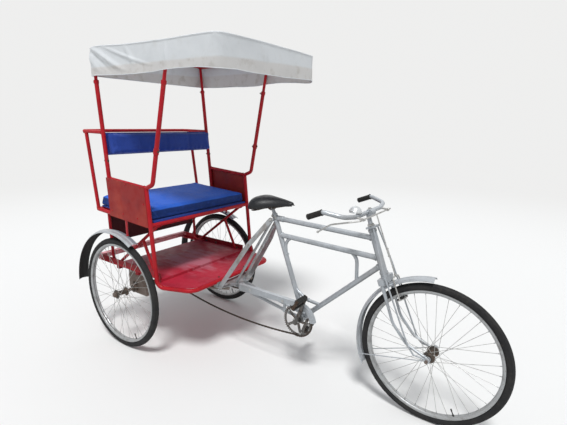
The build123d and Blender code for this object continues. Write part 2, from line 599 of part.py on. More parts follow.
for name, side, end in (("pedal_right", -1, crank_end), ("pedal_left", 1, crank_end_left)):
    x, z = end
    inner = CRANK_Y + CRANK_T / 2 + PEDAL_GAP
    y_mid = side * (inner + PEDAL_W / 2)
    axle_y0 = CRANK_Y - CRANK_T / 2
    length = inner + PEDAL_W + 3.0 - axle_y0
    axle = disc(x, side * (axle_y0 + length / 2), z, PEDAL_AXLE_D / 2, length)
    barrel = disc(x, y_mid, z, PEDAL_BARREL_D / 2, PEDAL_W)
    u = Vector(cos(radians(PEDAL_TILT)), 0, sin(radians(PEDAL_TILT)))
    plates, rubbers = [], []
    block_w = PEDAL_W - 2 * (PEDAL_PLATE_T + SEAT_GAP)
    for s in (-1, 1):
        middle = Plane(origin=Vector(x, y_mid, z), x_dir=u, z_dir=(0, side, 0))
        shape = Pos(s * (PEDAL_L - PEDAL_BLOCK_W) / 2, 0) * Rectangle(PEDAL_BLOCK_W, PEDAL_H)
        rubbers.append(extrude(middle * shape, block_w / 2, both=True).solid())
        end_plane = Plane(origin=Vector(x, y_mid + s * PEDAL_W / 2, z), x_dir=u, z_dir=(0, -s, 0))
        plates.append(extrude(end_plane * Rectangle(PEDAL_L, PEDAL_H * 0.6), PEDAL_PLATE_T).solid())
    parts[name] = [fuse([axle, barrel] + plates).solid()]
    parts[f"{name}_rubbers"] = rubbers

sprocket = toothed(0.0, AXLE_Z, sprocket_pitch_r, SPROCKET_TEETH, REAR_AXLE_D - 2.0)
sprocket_boss = disc(0.0, CHAIN_Y, AXLE_Z, SPROCKET_BOSS_R, SPROCKET_BOSS_L)


def chain_outline(r_ring, r_sprocket, sag):
    """The loop at a given radius: two arcs, a straight top run, a slack run."""
    dx, dz = BB_X, BB_Z - AXLE_Z
    gap = hypot(dx, dz)
    tilt = atan2(dz, dx)
    lean = atan2(r_ring - r_sprocket, sqrt(gap * gap - (r_ring - r_sprocket) ** 2))
    up = tilt + pi / 2 + lean
    low = tilt - pi / 2 - lean
    turn = radians(CHAIN_TURN)

    def at(cx, cz, r, a):
        return (cx + r * cos(a), cz + r * sin(a))

    top_ring, top_sprocket = at(BB_X, BB_Z, r_ring, up), at(0, AXLE_Z, r_sprocket, up)
    low_ring, low_sprocket = at(BB_X, BB_Z, r_ring, low + turn), at(0, AXLE_Z, r_sprocket, low - turn)
    middle = (
        (low_ring[0] + low_sprocket[0]) / 2,
        (low_ring[1] + low_sprocket[1]) / 2 - sag)
    nose = at(BB_X, BB_Z, r_ring, tilt)
    tail = at(0, AXLE_Z, r_sprocket, tilt + pi)
    plane = Plane(origin=(0, 0, 0), x_dir=(1, 0, 0), z_dir=(0, -1, 0))
    edges = [
        Line(top_sprocket, top_ring),
        ThreePointArc(top_ring, nose, low_ring),
        ThreePointArc(low_ring, middle, low_sprocket),
        ThreePointArc(low_sprocket, tail, top_sprocket)]
    return plane * make_face(edges)


def chain_band(inner, outer, width):
    faces = [chain_outline(ring_pitch_r + r, sprocket_pitch_r + r, CHAIN_SAG) for r in (inner, outer)]
    solids = [extrude(Pos(0, CHAIN_Y + width / 2, 0) * f, width).solid() for f in faces]
    return solids[1] - solids[0]


chain = chain_band(-CHAIN_H / 2, CHAIN_H / 2, CHAIN_W)
slot = chain_band(-CHAIN_H, TOOTH + CHAIN_TIP_GAP, CHAIN_SLOT)
parts["chain"] = [(chain - slot).solid()]


# Chain guard
def guard():
    """A tapering blade that hooks round the ring, with a flange along its top."""
    top, r_out, r_in = BB_Z + GUARD_R, GUARD_R, GUARD_R - GUARD_H_FRONT * 0.42

    def ring_point(r, degrees_round):
        a = radians(degrees_round)
        return (BB_X + r * cos(a), BB_Z + r * sin(a))

    rear_top = (GUARD_REAR_X, top + GUARD_RISE)
    rear_low = (GUARD_REAR_X, top + GUARD_RISE - GUARD_H_REAR)
    low_front = (BB_X, BB_Z + r_in)
    hook_out, mid_out = ring_point(r_out, GUARD_HOOK), ring_point(r_out, GUARD_MIDDLE)
    hook_in, mid_in = ring_point(r_in, GUARD_HOOK), ring_point(r_in, GUARD_MIDDLE)
    face = make_face([
        Line(rear_top, (BB_X, top)), ThreePointArc((BB_X, top), mid_out, hook_out),
        Line(hook_out, hook_in), ThreePointArc(hook_in, mid_in, low_front),
        Line(low_front, rear_low), Line(rear_low, rear_top)])
    plane = Plane(origin=(0, GUARD_Y + GUARD_T, 0), x_dir=(1, 0, 0), z_dir=(0, -1, 0))
    blade = extrude(plane * face, GUARD_T).solid()
    thin_hook, thin_mid = ring_point(r_out - GUARD_T, GUARD_HOOK), ring_point(r_out - GUARD_T, GUARD_MIDDLE)
    edge_face = make_face([
        Line(rear_top, (BB_X, top)), ThreePointArc((BB_X, top), mid_out, hook_out),
        Line(hook_out, thin_hook), ThreePointArc(thin_hook, thin_mid, (BB_X, top - GUARD_T)),
        Line((BB_X, top - GUARD_T), (GUARD_REAR_X, rear_top[1] - GUARD_T)),
        Line((GUARD_REAR_X, rear_top[1] - GUARD_T), rear_top)])
    plane = Plane(origin=(0, GUARD_Y + GUARD_FLANGE, 0), x_dir=(1, 0, 0), z_dir=(0, -1, 0))
    flange = extrude(plane * edge_face, GUARD_FLANGE).solid()
    return fuse([blade, flange])


tab_y = GUARD_Y + GUARD_FLANGE
tabs = []
for x in GUARD_TABS:
    _, stay_y, stay_z = on_tube(stay_rear, stay_front, x)
    x0, x1 = x - TAB_W / 2, x + TAB_W / 2
    tabs.append(box_at(x0, x1, tab_y - TAB_T, tab_y, stay_z - TAB_T, BB_Z + GUARD_R + 1.0))
    tabs.append(box_at(x0, x1, tab_y - TAB_T, -stay_y, stay_z - TAB_T, stay_z + TAB_T))
guard_solid = fuse([guard()] + tabs) - parts["chainstays"][0]
parts["chain_guard"] = [biggest(guard_solid)]

# Fork
fork_parts = [
    rod(on_head(HEAD_LOW - CROWN_BELOW), on_head(HEAD_HIGH + STEERER_OUT), STEERER_D),
    rod(on_head(HEAD_LOW - CROWN_BELOW), on_head(HEAD_LOW - RACE_GAP), CUP_D - 3.0),
    rod(on_head(HEAD_HIGH + RACE_GAP), on_head(HEAD_HIGH + LOCKNUT_H), CUP_D - 5.0),
]
crown_plane = Plane(origin=on_head(HEAD_LOW - CROWN_BELOW - CROWN_H), x_dir=(0, 1, 0), z_dir=HEAD_DIR)
crown = extrude(crown_plane * RectangleRounded(2 * FORK_Y + CROWN_OVER, CROWN_L, CROWN_R), CROWN_H).solid()
fork_parts.append(crown)
for side in (-1, 1):
    y = side * FORK_Y
    p0, p1 = Vector(*on_head(HEAD_LOW - CROWN_BELOW - 6.0, y)), Vector(*on_head(KNEE_S + KNEE_RUN, y))
    run = p1 - p0
    fork_parts.append(Solid.make_cone(
        BLADE_D / 2, BLADE_TIP_D / 2, run.length, Plane(origin=p0, z_dir=run.normalized())))
    rake = (WHEELBASE - RAKE_BACK, y, AXLE_Z + RAKE_UP)
    tip = (WHEELBASE - 6.0, y, AXLE_Z + 3.0)
    fork_parts.append(pipe((tuple(p1), on_head(KNEE_S, y), rake, tip), RAKE_RADII, BLADE_TIP_D))
    fork_parts.append(disc(WHEELBASE, y, AXLE_Z, STAY_EYE_R, DROPOUT_T))
fork = fuse(fork_parts)
axle_hole = disc(WHEELBASE, 0.0, AXLE_Z, FRONT_AXLE_D / 2, 4 * FORK_Y)
parts["fork"] = [(fork - axle_hole).solid()]

duplex_y = FORK_Y + BLADE_TIP_D / 2 + DUPLEX_EYE_T / 2 + SEAT_GAP
stay_eye_y = duplex_y + DUPLEX_EYE_T / 2 + STAY_EYE_T / 2 + SEAT_GAP
nut_y = stay_eye_y + STAY_EYE_T / 2 + SEAT_GAP
front_axle = disc(WHEELBASE, 0.0, AXLE_Z, FRONT_AXLE_D / 2, 2 * (nut_y + AXLE_NUT_T + AXLE_OUT))
nut_planes = [Plane(origin=(WHEELBASE, s * nut_y, AXLE_Z), x_dir=(1, 0, 0), z_dir=(0, s, 0)) for s in (-1, 1)]
nuts = [extrude(plane * RegularPolygon(AXLE_NUT_D / 2, 6), AXLE_NUT_T).solid() for plane in nut_planes]
parts["front_axle"] = [fuse([front_axle] + nuts).solid()]

# Slim outer stays, from a clip over the head to the axle
clip_low = HEAD_HIGH + LOCKNUT_H + SEAT_GAP
duplex = []
for side in (-1, 1):
    y = side * duplex_y
    top = on_head(clip_low + CLIP_T / 2, side * STAY_TOP_Y)
    path = [
        (top[0] + STAY_TOP_AHEAD * HEAD_DIR.Z, top[1], top[2] - STAY_TOP_AHEAD * HEAD_DIR.X),
        (HEAD_X + DUPLEX_KNEE[0], y, HEAD_Z + DUPLEX_KNEE[1])]
    path += [(WHEELBASE + dx, y, AXLE_Z + dz) for dx, dz in DUPLEX_RAKE]
    for p, q in zip(path, path[1:]):
        duplex.append(rod(p, q, DUPLEX_D))
    duplex += [ball(p, DUPLEX_D) for p in path[:-1]]
    duplex.append(disc(WHEELBASE, y, AXLE_Z, DUPLEX_EYE_R, DUPLEX_EYE_T))
clip_plane = Plane(origin=on_head(clip_low), x_dir=(0, 1, 0), z_dir=HEAD_DIR)
clip = extrude(clip_plane * Pos(0, -CLIP_AHEAD) * RectangleRounded(CLIP_W, CLIP_L, CLIP_R), CLIP_T).solid()
steerer_hole = rod(on_head(HEAD_HIGH), on_head(clip_low + 2 * CLIP_T), STEERER_D)
duplex_fork = fuse([clip] + duplex) - steerer_hole - axle_hole
parts["duplex_stays"] = [biggest(duplex_fork)]

# Handlebar
bar_centre = on_head(BAR_Z_ALONG)


def by_bar(ahead, y, up):
    """A point given from the stem's top."""
    return (bar_centre[0] + ahead, y, bar_centre[2] + up)


stem = rod(on_head(HEAD_HIGH + STEERER_OUT), bar_centre, STEM_D)
bar_left = [by_bar(*bend) for bend in BAR_BENDS]
bar_right = [(x, -y, z) for x, y, z in reversed(bar_left)]
bar = pipe(tuple(bar_right + bar_left), BAR_RADII + BAR_RADII[::-1], BAR_D)
clamp_mid = by_bar(BAR_CLAMP_AHEAD, 0.0, BAR_CLAMP_UP)
clamp = disc(*clamp_mid, BAR_CLAMP_D / 2, BAR_CLAMP_W)
handlebar = fuse([stem, clamp, bar])
parts["handlebar"] = [handlebar.solid()]

p, q = Vector(*bar_left[-2]), Vector(*bar_left[-1])
run = (q - p).normalized()
grip = (rod(tuple(q - run * GRIP_L), tuple(q + run * GRIP_OVER), GRIP_D) - handlebar).solid()
parts["grips"] = [mirror_y(grip), grip]

# Rod brake: one hand lever, a cross rod under the bar, a pull rod and stirrup
cross_at = by_bar(CROSS_AHEAD, 0.0, CROSS_UP)
cross_x, _, cross_z = cross_at
lever_path = [by_bar(*bend) for bend in LEVER_BENDS] + [(cross_x, -CROSS_RIGHT + 2.0, cross_z)]
lever = pipe(tuple(lever_path), LEVER_RADII, LEVER_D)
cross_rod = rod((cross_x, -CROSS_RIGHT, cross_z), (cross_x, CROSS_LEFT, cross_z), LEVER_D)
hooks = [rod(by_bar(HOOK_AHEAD, y, HOOK_UP), (cross_x, y, cross_z), HOOK_D) for y in (-HOOK_Y, HOOK_Y)]
lever_gear = fuse([cross_rod, lever] + hooks) - handlebar
stirrup_top = (WHEELBASE - STIRRUP_BACK, 0.0, AXLE_Z + STIRRUP_UP)
shoe_r, shoe_a = RIM_IN - SHOE_INSET, radians(SHOE_ANGLE)
shoe_x, shoe_z = WHEELBASE + shoe_r * cos(shoe_a), AXLE_Z + shoe_r * sin(shoe_a)
pull_rod = rod(cross_at, stirrup_top, PULL_D)
adjuster = rod(
    lerp(cross_at, stirrup_top, ADJUSTER_AT - ADJUSTER_L / 2),
    lerp(cross_at, stirrup_top, ADJUSTER_AT + ADJUSTER_L / 2), ADJUSTER_D)
stirrup_half = [(shoe_x, STIRRUP_Y, shoe_z), (stirrup_top[0], STIRRUP_Y, stirrup_top[2])]
stirrup = pipe(
    tuple([(x, -y, z) for x, y, z in stirrup_half] + stirrup_half[::-1]), (STIRRUP_R, STIRRUP_R), STIRRUP_D)
feet, shoes = [], []
for side in (-1, 1):
    outside, inside = side * (STIRRUP_Y + STIRRUP_D / 2 - 0.5), side * (SHOE_Y - 2.0)
    feet.append(rod((shoe_x, outside, shoe_z), (shoe_x, inside, shoe_z), PULL_D))
    tangent = shoe_a + pi / 2
    plane = Plane(
        origin=Vector(shoe_x, side * SHOE_Y, shoe_z), x_dir=(cos(tangent), 0, sin(tangent)), z_dir=(0, -1, 0))
    shoes.append(extrude(plane * Rectangle(SHOE_L, SHOE_W), SHOE_T / 2, both=True).solid())
brake_gear = fuse([lever_gear, pull_rod, adjuster, stirrup] + feet + shoes) - clip - crown - handlebar
parts["brake_gear"] = [biggest(brake_gear)]

bell_x, bell_y, bell_z = by_bar(*BELL_AT)
rim_top, foot_low = (bell_x, bell_y, bell_z + BELL_RIM_H), (bell_x + 12.0, bell_y, bell_z + 3.0 - BELL_FOOT_H)
bell = fuse([
    rod((bell_x, bell_y, bell_z), rim_top, BELL_D),
    Solid.make_cone(BELL_D / 2, BELL_D * 0.22, BELL_H - BELL_RIM_H, Plane(origin=rim_top)),
    Solid.make_cylinder(BELL_FOOT_D / 2, BELL_FOOT_H, Plane(origin=foot_low))])
parts["bell"] = [biggest(bell - handlebar)]


# Fenders
def fender(x, y, z, radius, width, a0, a1):
    """A rolled guard: a strip beaded along its middle, turned part of the way round."""
    h, t = width / 2, FENDER_T
    outer = [(radius - FENDER_DROP * drop, h * share) for share, drop in FENDER_SECTION]
    inner = [(r - t, w * (1 - t / h)) for r, w in outer]
    outer += [(r, -w) for r, w in reversed(outer)]
    inner += [(r, -w) for r, w in reversed(inner)]
    strip = turned(Polygon(*outer, *inner[::-1], align=None), a1 - a0)
    plane = Plane(origin=(x, y, z), x_dir=(1, 0, 0), z_dir=(0, -1, 0))
    return plane.location * (Rot(0, 0, a0) * strip)


rear_fenders = []
for side in (-1, 1):
    y = side * TRACK / 2
    strip = fender(FENDER_DX, y, AXLE_Z + FENDER_DZ, FENDER_R, FENDER_W, FENDER_A0, FENDER_A1)
    strut_top = on_seat_rail(FENDER_STRUT_X)[2] - TUBE_D / 2 - SEAT_GAP
    ahead = FENDER_STRUT_X - FENDER_DX
    strut_low = AXLE_Z + FENDER_DZ + sqrt(FENDER_R ** 2 - ahead ** 2) - FENDER_STRUT_SINK
    strut = rod(
        (FENDER_STRUT_X, side * (SIDE_Y + FENDER_STRUT_Y), strut_top),
        (FENDER_STRUT_X, y - side * FENDER_STRUT_IN, strut_low), FENDER_STRUT_D)
    rear_fenders.append(fuse([strip, strut]).solid())
parts["rear_fenders"] = rear_fenders

front_parts = [fender(
    WHEELBASE, 0.0, AXLE_Z, FRONT_FENDER_R, FRONT_FENDER_W, FRONT_FENDER_A0, FRONT_FENDER_A1)]
stay_a = radians(FRONT_FENDER_A1 - FENDER_STAY_BACK)
stay_r = FRONT_FENDER_R - FENDER_DROP - FENDER_T / 2
for side in (-1, 1):
    edge_y = side * (FRONT_FENDER_W / 2 - FENDER_T * 0.75)
    rim_end = (WHEELBASE + stay_r * cos(stay_a), edge_y, AXLE_Z + stay_r * sin(stay_a))
    front_parts.append(rod(rim_end, (WHEELBASE - 12.0, side * stay_eye_y, AXLE_Z - 3.0), FENDER_STAY_D))
    front_parts.append(disc(WHEELBASE, side * stay_eye_y, AXLE_Z, STAY_EYE_R, STAY_EYE_T))
front_fender = fuse(front_parts) - axle_hole
parts["front_fender"] = [front_fender.solid()]


# Chassis
def side_rail(side):
    """An angle bar: a standing leg outside, a lying leg inside."""
    y = side * RAIL_Y
    outer = y + side * RAIL_W / 2
    inner = y - side * RAIL_W / 2
    y0, y1 = sorted((outer, outer - side * RAIL_T))
    standing = box_at(REAR_X, RAIL_FRONT_X, y0, y1, RAIL_Z - RAIL_H / 2, RAIL_Z + RAIL_H / 2)
    y0, y1 = sorted((outer, inner))
    z1 = DECK_TOP - DECK_T
    lying = box_at(REAR_X, RAIL_FRONT_X, y0, y1, z1 - RAIL_T, z1)
    return fuse([standing, lying])


rails = [side_rail(-1), side_rail(1)]
z1 = DECK_TOP - DECK_T
outer_y, inner_y, rail_top = RAIL_Y + RAIL_W / 2, RAIL_Y + RAIL_W / 2 - RAIL_T, RAIL_Z + RAIL_H / 2
cross = [
    box_at(REAR_X, REAR_X + REAR_FLANGE, -outer_y, outer_y, rail_top - RAIL_T, rail_top),
    box_at(REAR_X, REAR_X + RAIL_T, -outer_y, outer_y, z1 - RAIL_T, rail_top),
]
for x in CROSS_X:
    cross.append(box_at(
        x - CROSS_W / 2, x + CROSS_W / 2, -inner_y, inner_y, z1 - RAIL_T - CROSS_H, z1 - RAIL_T))
chassis = fuse(rails + cross)
parts["chassis"] = [chassis.solid()]

deck_y = inner_y - 1.0
deck = box_at(DECK_REAR_X, STEP_X, -deck_y, deck_y, DECK_TOP - DECK_T, DECK_TOP)

# Hoop
hoop_half = (
    on_front_upright(ARM_FRONT_Z, SIDE_Y), (HOOP_FOOT_X, HOOP_Y_SIDE, HOOP_Z), (HOOP_X, HOOP_Y_FRONT, HOOP_Z))
hoop_points = hoop_half + tuple((x, -y, z) for x, y, z in reversed(hoop_half))
hoop = pipe(hoop_points, (HOOP_FOOT_R, HOOP_CORNER_R, HOOP_CORNER_R, HOOP_FOOT_R), TUBE_D)
parts["platform_hoop"] = [hoop]
parts["rear_stays"] = [biggest(rear_stays - hoop)]

step_half = [(STEP_X + 1.0, STEP_Y)] + [(HOOP_X + dx, HOOP_Y_FRONT + dy) for dx, dy in STEP_CORNER]
step_outline = [(x, -y) for x, y in step_half] + step_half[::-1]
step_low = STEP_TOP - STEP_T
parts["front_deck"] = [plate(step_outline, STEP_T, Plane(origin=(0, 0, step_low)))]
beam_end = HOOP_X - TUBE_D / 2 - SEAT_GAP
beams = [
    box_at(RAIL_FRONT_X, beam_end, y - BEAM_W / 2, y + BEAM_W / 2, step_low - BEAM_H, step_low - SEAT_GAP)
    for y in (-BEAM_Y, BEAM_Y)]
parts["deck_beams"] = [biggest(b - chassis - hoop) for b in beams]
parts["rear_deck"] = [(deck - hoop).solid()]

# Seat
rail_left = rod(on_seat_rail(SEAT_REAR_X, SIDE_Y), on_seat_rail(SEAT_FRONT_X, SIDE_Y), TUBE_D)
front_tube = rod(on_seat_rail(SEAT_FRONT_X, -SIDE_Y), on_seat_rail(SEAT_FRONT_X, SIDE_Y), TUBE_D)
rear_tube = rod(on_seat_rail(SEAT_REAR_X, -SIDE_Y), on_seat_rail(SEAT_REAR_X, SIDE_Y), TUBE_D)
corners = [ball(on_seat_rail(SEAT_REAR_X, y), TUBE_D) for y in (-SIDE_Y, SIDE_Y)]
seat_loop = biggest(fuse([rail_left, mirror_y(rail_left), front_tube, rear_tube] + corners) - hoop)
parts["seat_frame"] = [seat_loop]

uprights, legs, arms, panels, posts_rear, posts_front = [], [], [], [], [], []
for side in (-1, 1):
    y = side * SIDE_Y
    upright = rod(on_seat_rail(SEAT_REAR_X, y), (UPRIGHT_TOP_X, y, HANDRAIL_Z), UPRIGHT_D)
    uprights.append(biggest(upright - seat_loop))
    post = fuse([
        rod(on_rear_post(SEAT_REAR_Z - 8.0, y), on_rear_post(REAR_STEP_Z, y), POST_D),
        rod(on_rear_post(REAR_STEP_Z - 1.0, y), on_rear_post(CANOPY_RAIL_Z, y), POST_THIN_D)])
    posts_rear.append(biggest(post - seat_loop))
    arm = rod(on_rear_post(ARM_REAR_Z, y), on_front_upright(ARM_FRONT_Z, y), ARM_D)
    arm = biggest(arm - post - hoop)
    arms.append(arm)
    foot = on_front_upright(ARM_FRONT_Z, y)
    knee = (foot[0] + KNEE_AHEAD, y, foot[2] + KNEE_UP)
    top = (FRONT_POST_TOP_X, side * FRONT_POST_TOP_Y, CANOPY_RAIL_Z)

    def on_front_post(z):
        return lerp(knee, top, (z - knee[2]) / (top[2] - knee[2]))

    front_post = fuse([
        pipe((foot, knee, on_front_post(FRONT_STEP_Z)), KNEE_R, POST_D),
        rod(on_front_post(FRONT_STEP_Z - 1.0), top, POST_THIN_D),
        rod(on_front_post(COLLAR_Z - COLLAR_L / 2), on_front_post(COLLAR_Z + COLLAR_L / 2), COLLAR_D)])
    front_post = biggest(front_post - hoop - arm)
    posts_front.append(front_post)
    rear_x, high_x = on_rear_post(SEAT_REAR_Z)[0] - POST_D / 2, on_rear_post(ARM_REAR_Z)[0] - POST_D / 2
    front_x, high_front_x = on_front_upright(SEAT_FRONT_Z)[0] - TUBE_D / 2, ARM_FRONT_X - TUBE_D / 2
    outline = (
        (rear_x, on_seat_rail(rear_x)[2] - PANEL_DROP), (front_x, on_seat_rail(front_x)[2] - PANEL_DROP),
        (high_front_x, ARM_FRONT_Z + PANEL_RISE), (high_x, ARM_REAR_Z + PANEL_RISE))
    outside = y + side * (POST_D / 2 + SEAT_GAP)
    panels.append(plate(outline, PANEL_T, side_plane(max(outside, outside + side * PANEL_T))))

    y = side * RAIL_Y
    low_z = z1 + BRACE_TUBE_D / 2
    leg_path = (on_seat_rail(SEAT_REAR_X, y), (LEG_X_LOW, y, low_z), (LEG_X_LOW + LEG_TOE, y, low_z))
    leg = pipe(leg_path, LEG_BEND, BRACE_TUBE_D)
    d1_low, d1_high = (LEG_X_LOW + D1_FOOT, y, low_z), (SEAT_FRONT_X, y, SEAT_FRONT_Z)
    d1 = rod(d1_low, d1_high, BRACE_D)
    d2 = rod((BRACE_FOOT_X, y, DECK_TOP), lerp(d1_low, d1_high, BRACE_SHARE), BRACE_D)
    legs.append(biggest(fuse([leg, d1, d2]) - seat_loop - deck - chassis))
parts["back_uprights"] = uprights
parts["leg_frames"] = legs
parts["arm_rails"] = arms
parts["arm_panels"] = panels
parts["canopy_posts_rear"] = posts_rear
parts["canopy_posts_front"] = posts_front

apron_x, apron_y = LEG_X_LOW - APRON_BACK, RAIL_Y - APRON_IN
apron = box_at(apron_x, apron_x + PANEL_T, -apron_y, apron_y, APRON_Z, SEAT_REAR_Z)
parts["seat_apron"] = [biggest(apron - legs[0] - legs[1] - seat_loop)]

# Handrail
hand_left = (on_rear_post(HANDRAIL_Z, SIDE_Y), (HANDRAIL_REAR_X, SIDE_Y, HANDRAIL_Z + HAND_RISE))
hand_path = tuple((x, -y, z) for x, y, z in hand_left) + hand_left[::-1]
handrail = pipe(hand_path, (HAND_R, HAND_R), HAND_D)
for solid in posts_rear + uprights:
    handrail = handrail - solid
parts["handrail"] = [biggest(handrail)]

# Cushions
slope = atan2(SEAT_FRONT_Z - SEAT_REAR_Z, SEAT_FRONT_X - SEAT_REAR_X)
seat_plane = Plane(
    origin=on_seat_rail(SEAT_REAR_X), x_dir=(cos(slope), 0, sin(slope)), z_dir=(-sin(slope), 0, cos(slope)))
board_z = TUBE_D / 2 + SEAT_GAP
x0, x1 = CUSHION_REAR_X - SEAT_REAR_X, CUSHION_FRONT_X - SEAT_REAR_X
board_l = hypot(SEAT_FRONT_X - SEAT_REAR_X, SEAT_FRONT_Z - SEAT_REAR_Z)
board_shape = Pos(board_l / 2, 0, board_z) * Rectangle(board_l, CUSHION_W)
cushion_at = Pos((x0 + x1) / 2, 0, board_z + BOARD_T + SEAT_GAP)
cushion_shape = cushion_at * RectangleRounded(x1 - x0, CUSHION_W, CUSHION_CORNER_R)
parts["seat_board"] = [extrude(seat_plane * board_shape, BOARD_T).solid()]
parts["seat_cushion"] = [extrude(seat_plane * cushion_shape, CUSHION_T).solid()]

bx0, bx1 = on_rear_post(BACK_Z0)[0] + 3.0, on_rear_post(BACK_Z1)[0] + 3.0
back_y = SIDE_Y - POST_D / 2 - SEAT_GAP
board_side = ((bx0 - BACK_BOARD_T, BACK_Z0), (bx0, BACK_Z0), (bx1, BACK_Z1), (bx1 - BACK_BOARD_T, BACK_Z1))
cushion_side = (
    (bx0 + SEAT_GAP, BACK_Z0), (bx0 + BACK_T, BACK_Z0), (bx1 + BACK_T, BACK_Z1), (bx1 + SEAT_GAP, BACK_Z1))
back_cushion_y = back_y - 4.0
parts["backrest_board"] = [plate(board_side, 2 * back_y, side_plane(back_y))]
parts["backrest_cushion"] = [plate(cushion_side, 2 * back_cushion_y, side_plane(back_cushion_y))]

# Canopy
canopy_tubes = []
frame_z = CANOPY_RAIL_Z + BOW_D / 2
for side in (-1, 1):
    foot = (REAR_POST_TOP_X, side * SIDE_Y, frame_z)
    over_front = (FRONT_POST_TOP_X, side * FRONT_POST_TOP_Y, frame_z)
    rail_ends = [on_tube(foot, over_front, x) for x in (CANOPY_X0 + RAIL_INSET, CANOPY_X1 - RAIL_INSET)]
    canopy_tubes.append(rod(*rail_ends, BOW_D))
bow_drop = CANOPY_T + SEAT_GAP + BOW_D / 2
fold_y = (CANOPY_Y_REAR - CANOPY_T) * CANOPY_FOLD
fold_z, middle_z = CANOPY_TOP - bow_drop + CANOPY_CROWN * FOLD_RISE, CANOPY_TOP - bow_drop + CANOPY_CROWN
for i in range(BOWS):
    x = CANOPY_X0 + BOW_INSET + (CANOPY_X1 - CANOPY_X0 - 2 * BOW_INSET) * i / (BOWS - 1)
    end = on_tube(foot, over_front, x)
    bow_path = ((x, -end[1], frame_z), (x, -fold_y, fold_z), (x, 0.0, middle_z), (x, fold_y, fold_z), end)
    canopy_tubes.append(pipe(bow_path, BOW_R, BOW_D))
canopy_frame = fuse(canopy_tubes)
for solid in posts_rear + posts_front:
    canopy_frame = canopy_frame - solid
parts["canopy_frame"] = [biggest(canopy_frame)]


def canopy_block(t):
    """Outer form for t = 0, the hollow under it for t = the cloth."""
    y, low, top, front = CANOPY_Y_REAR - t, CANOPY_HEM - t, CANOPY_TOP - t, CANOPY_Y_FRONT - t
    fold_top = top + CANOPY_CROWN * FOLD_RISE
    profile = Polygon(
        (-y, low), (y, low), (y, top), (y * CANOPY_FOLD, fold_top), (0, top + CANOPY_CROWN),
        (-y * CANOPY_FOLD, fold_top), (-y, top), align=None)
    x0, x1 = CANOPY_X0 + t, CANOPY_X1 - t
    plan = Polygon((x0, -y), (x1, -front), (x1, front), (x0, y), align=None)
    plan = fillet(plan.vertices(), CANOPY_CORNER - t)
    block = extrude(Plane(origin=(x0, 0, 0), x_dir=(0, 1, 0), z_dir=(1, 0, 0)) * profile, x1 - x0).solid()
    column = extrude(Plane(origin=(0, 0, low)) * plan, 2 * (CANOPY_TOP - CANOPY_HEM)).solid()
    return block.intersect(column).solid()


canopy = canopy_block(0.0) - canopy_block(CANOPY_T)
parts["canopy"] = [biggest(canopy)]

# Rear axle
axle_half = TRACK / 2 + HUB_END + REAR_AXLE_OUT
rear_axle = fuse([disc(0.0, 0.0, AXLE_Z, REAR_AXLE_D / 2, 2 * axle_half), sprocket_boss, sprocket])
parts["rear_axle"] = [rear_axle.solid()]
hangers, drawbars = [], []
for side in (-1, 1):
    y = side * HANGER_Y
    hanger_low = AXLE_Z - HANGER_DROP
    outline = (
        (HANGER_X0 + 30.0, hanger_low), (HANGER_X1, hanger_low),
        (HANGER_X1, z1 - RAIL_T), (HANGER_X0, z1 - RAIL_T), (HANGER_X0, AXLE_Z))
    web = plate(outline, HANGER_T, side_plane(y + HANGER_T / 2))
    y0, y1 = sorted((y + side * HANGER_T / 2, y - side * HANGER_FLANGE))
    flange = box_at(HANGER_X1 - HANGER_T, HANGER_X1, y0, y1, hanger_low, z1 - RAIL_T)
    housing = disc(0.0, y, AXLE_Z, HOUSING_R, HOUSING_L)
    hole = disc(0.0, y, AXLE_Z, REAR_AXLE_D / 2 + FIT, HOUSING_L + 2.0)
    hanger = biggest(fuse([web, flange, housing]) - hole - chassis)
    hangers.append(hanger)
    bar = rod(
        (HANGER_X1 - 3.0, y - side * DRAWBAR_IN, DRAWBAR_Z),
        (STAY_END_X + 4.0, side * DRAWBAR_Y, yoke_z - DRAWBAR_D / 2), DRAWBAR_D)
    drawbars.append(biggest(bar - hanger - rear_stays))
parts["axle_hangers"] = hangers
parts["drawbars"] = drawbars

# Export
XMIN = FENDER_DX - FENDER_R
XMAX = WHEELBASE + WHEEL_R
ORIGIN_X = (XMIN + XMAX) / 2
shift = Location((-ORIGIN_X, 0, 0))
for name, solids in parts.items():
    shape = Compound(children=[s.moved(shift) for s in solids]) if len(solids) > 1 else solids[0].moved(shift)
    export_step(shape, f"parts/{name}.step")
print("nodes", len(parts), "origin x", ORIGIN_X)
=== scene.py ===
from math import atan2, cos, exp, hypot, pi, radians, sin, sqrt

import bmesh
import bpy
from mathutils import Matrix, Vector, noise

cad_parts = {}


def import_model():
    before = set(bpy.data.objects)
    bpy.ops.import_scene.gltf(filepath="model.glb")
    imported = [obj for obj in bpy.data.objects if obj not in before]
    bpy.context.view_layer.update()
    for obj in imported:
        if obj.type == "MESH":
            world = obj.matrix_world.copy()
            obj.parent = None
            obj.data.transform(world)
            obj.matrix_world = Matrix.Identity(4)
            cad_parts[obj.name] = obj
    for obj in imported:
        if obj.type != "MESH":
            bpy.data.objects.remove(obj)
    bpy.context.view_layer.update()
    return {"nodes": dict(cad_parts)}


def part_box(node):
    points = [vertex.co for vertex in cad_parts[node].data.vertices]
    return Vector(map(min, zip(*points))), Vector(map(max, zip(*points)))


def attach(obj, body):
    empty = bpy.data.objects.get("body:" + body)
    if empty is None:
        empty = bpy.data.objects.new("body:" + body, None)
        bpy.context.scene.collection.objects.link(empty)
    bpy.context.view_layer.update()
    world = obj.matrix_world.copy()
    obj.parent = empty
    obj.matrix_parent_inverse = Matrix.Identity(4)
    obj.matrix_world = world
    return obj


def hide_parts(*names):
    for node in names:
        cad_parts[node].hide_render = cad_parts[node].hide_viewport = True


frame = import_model()
nodes = frame["nodes"]

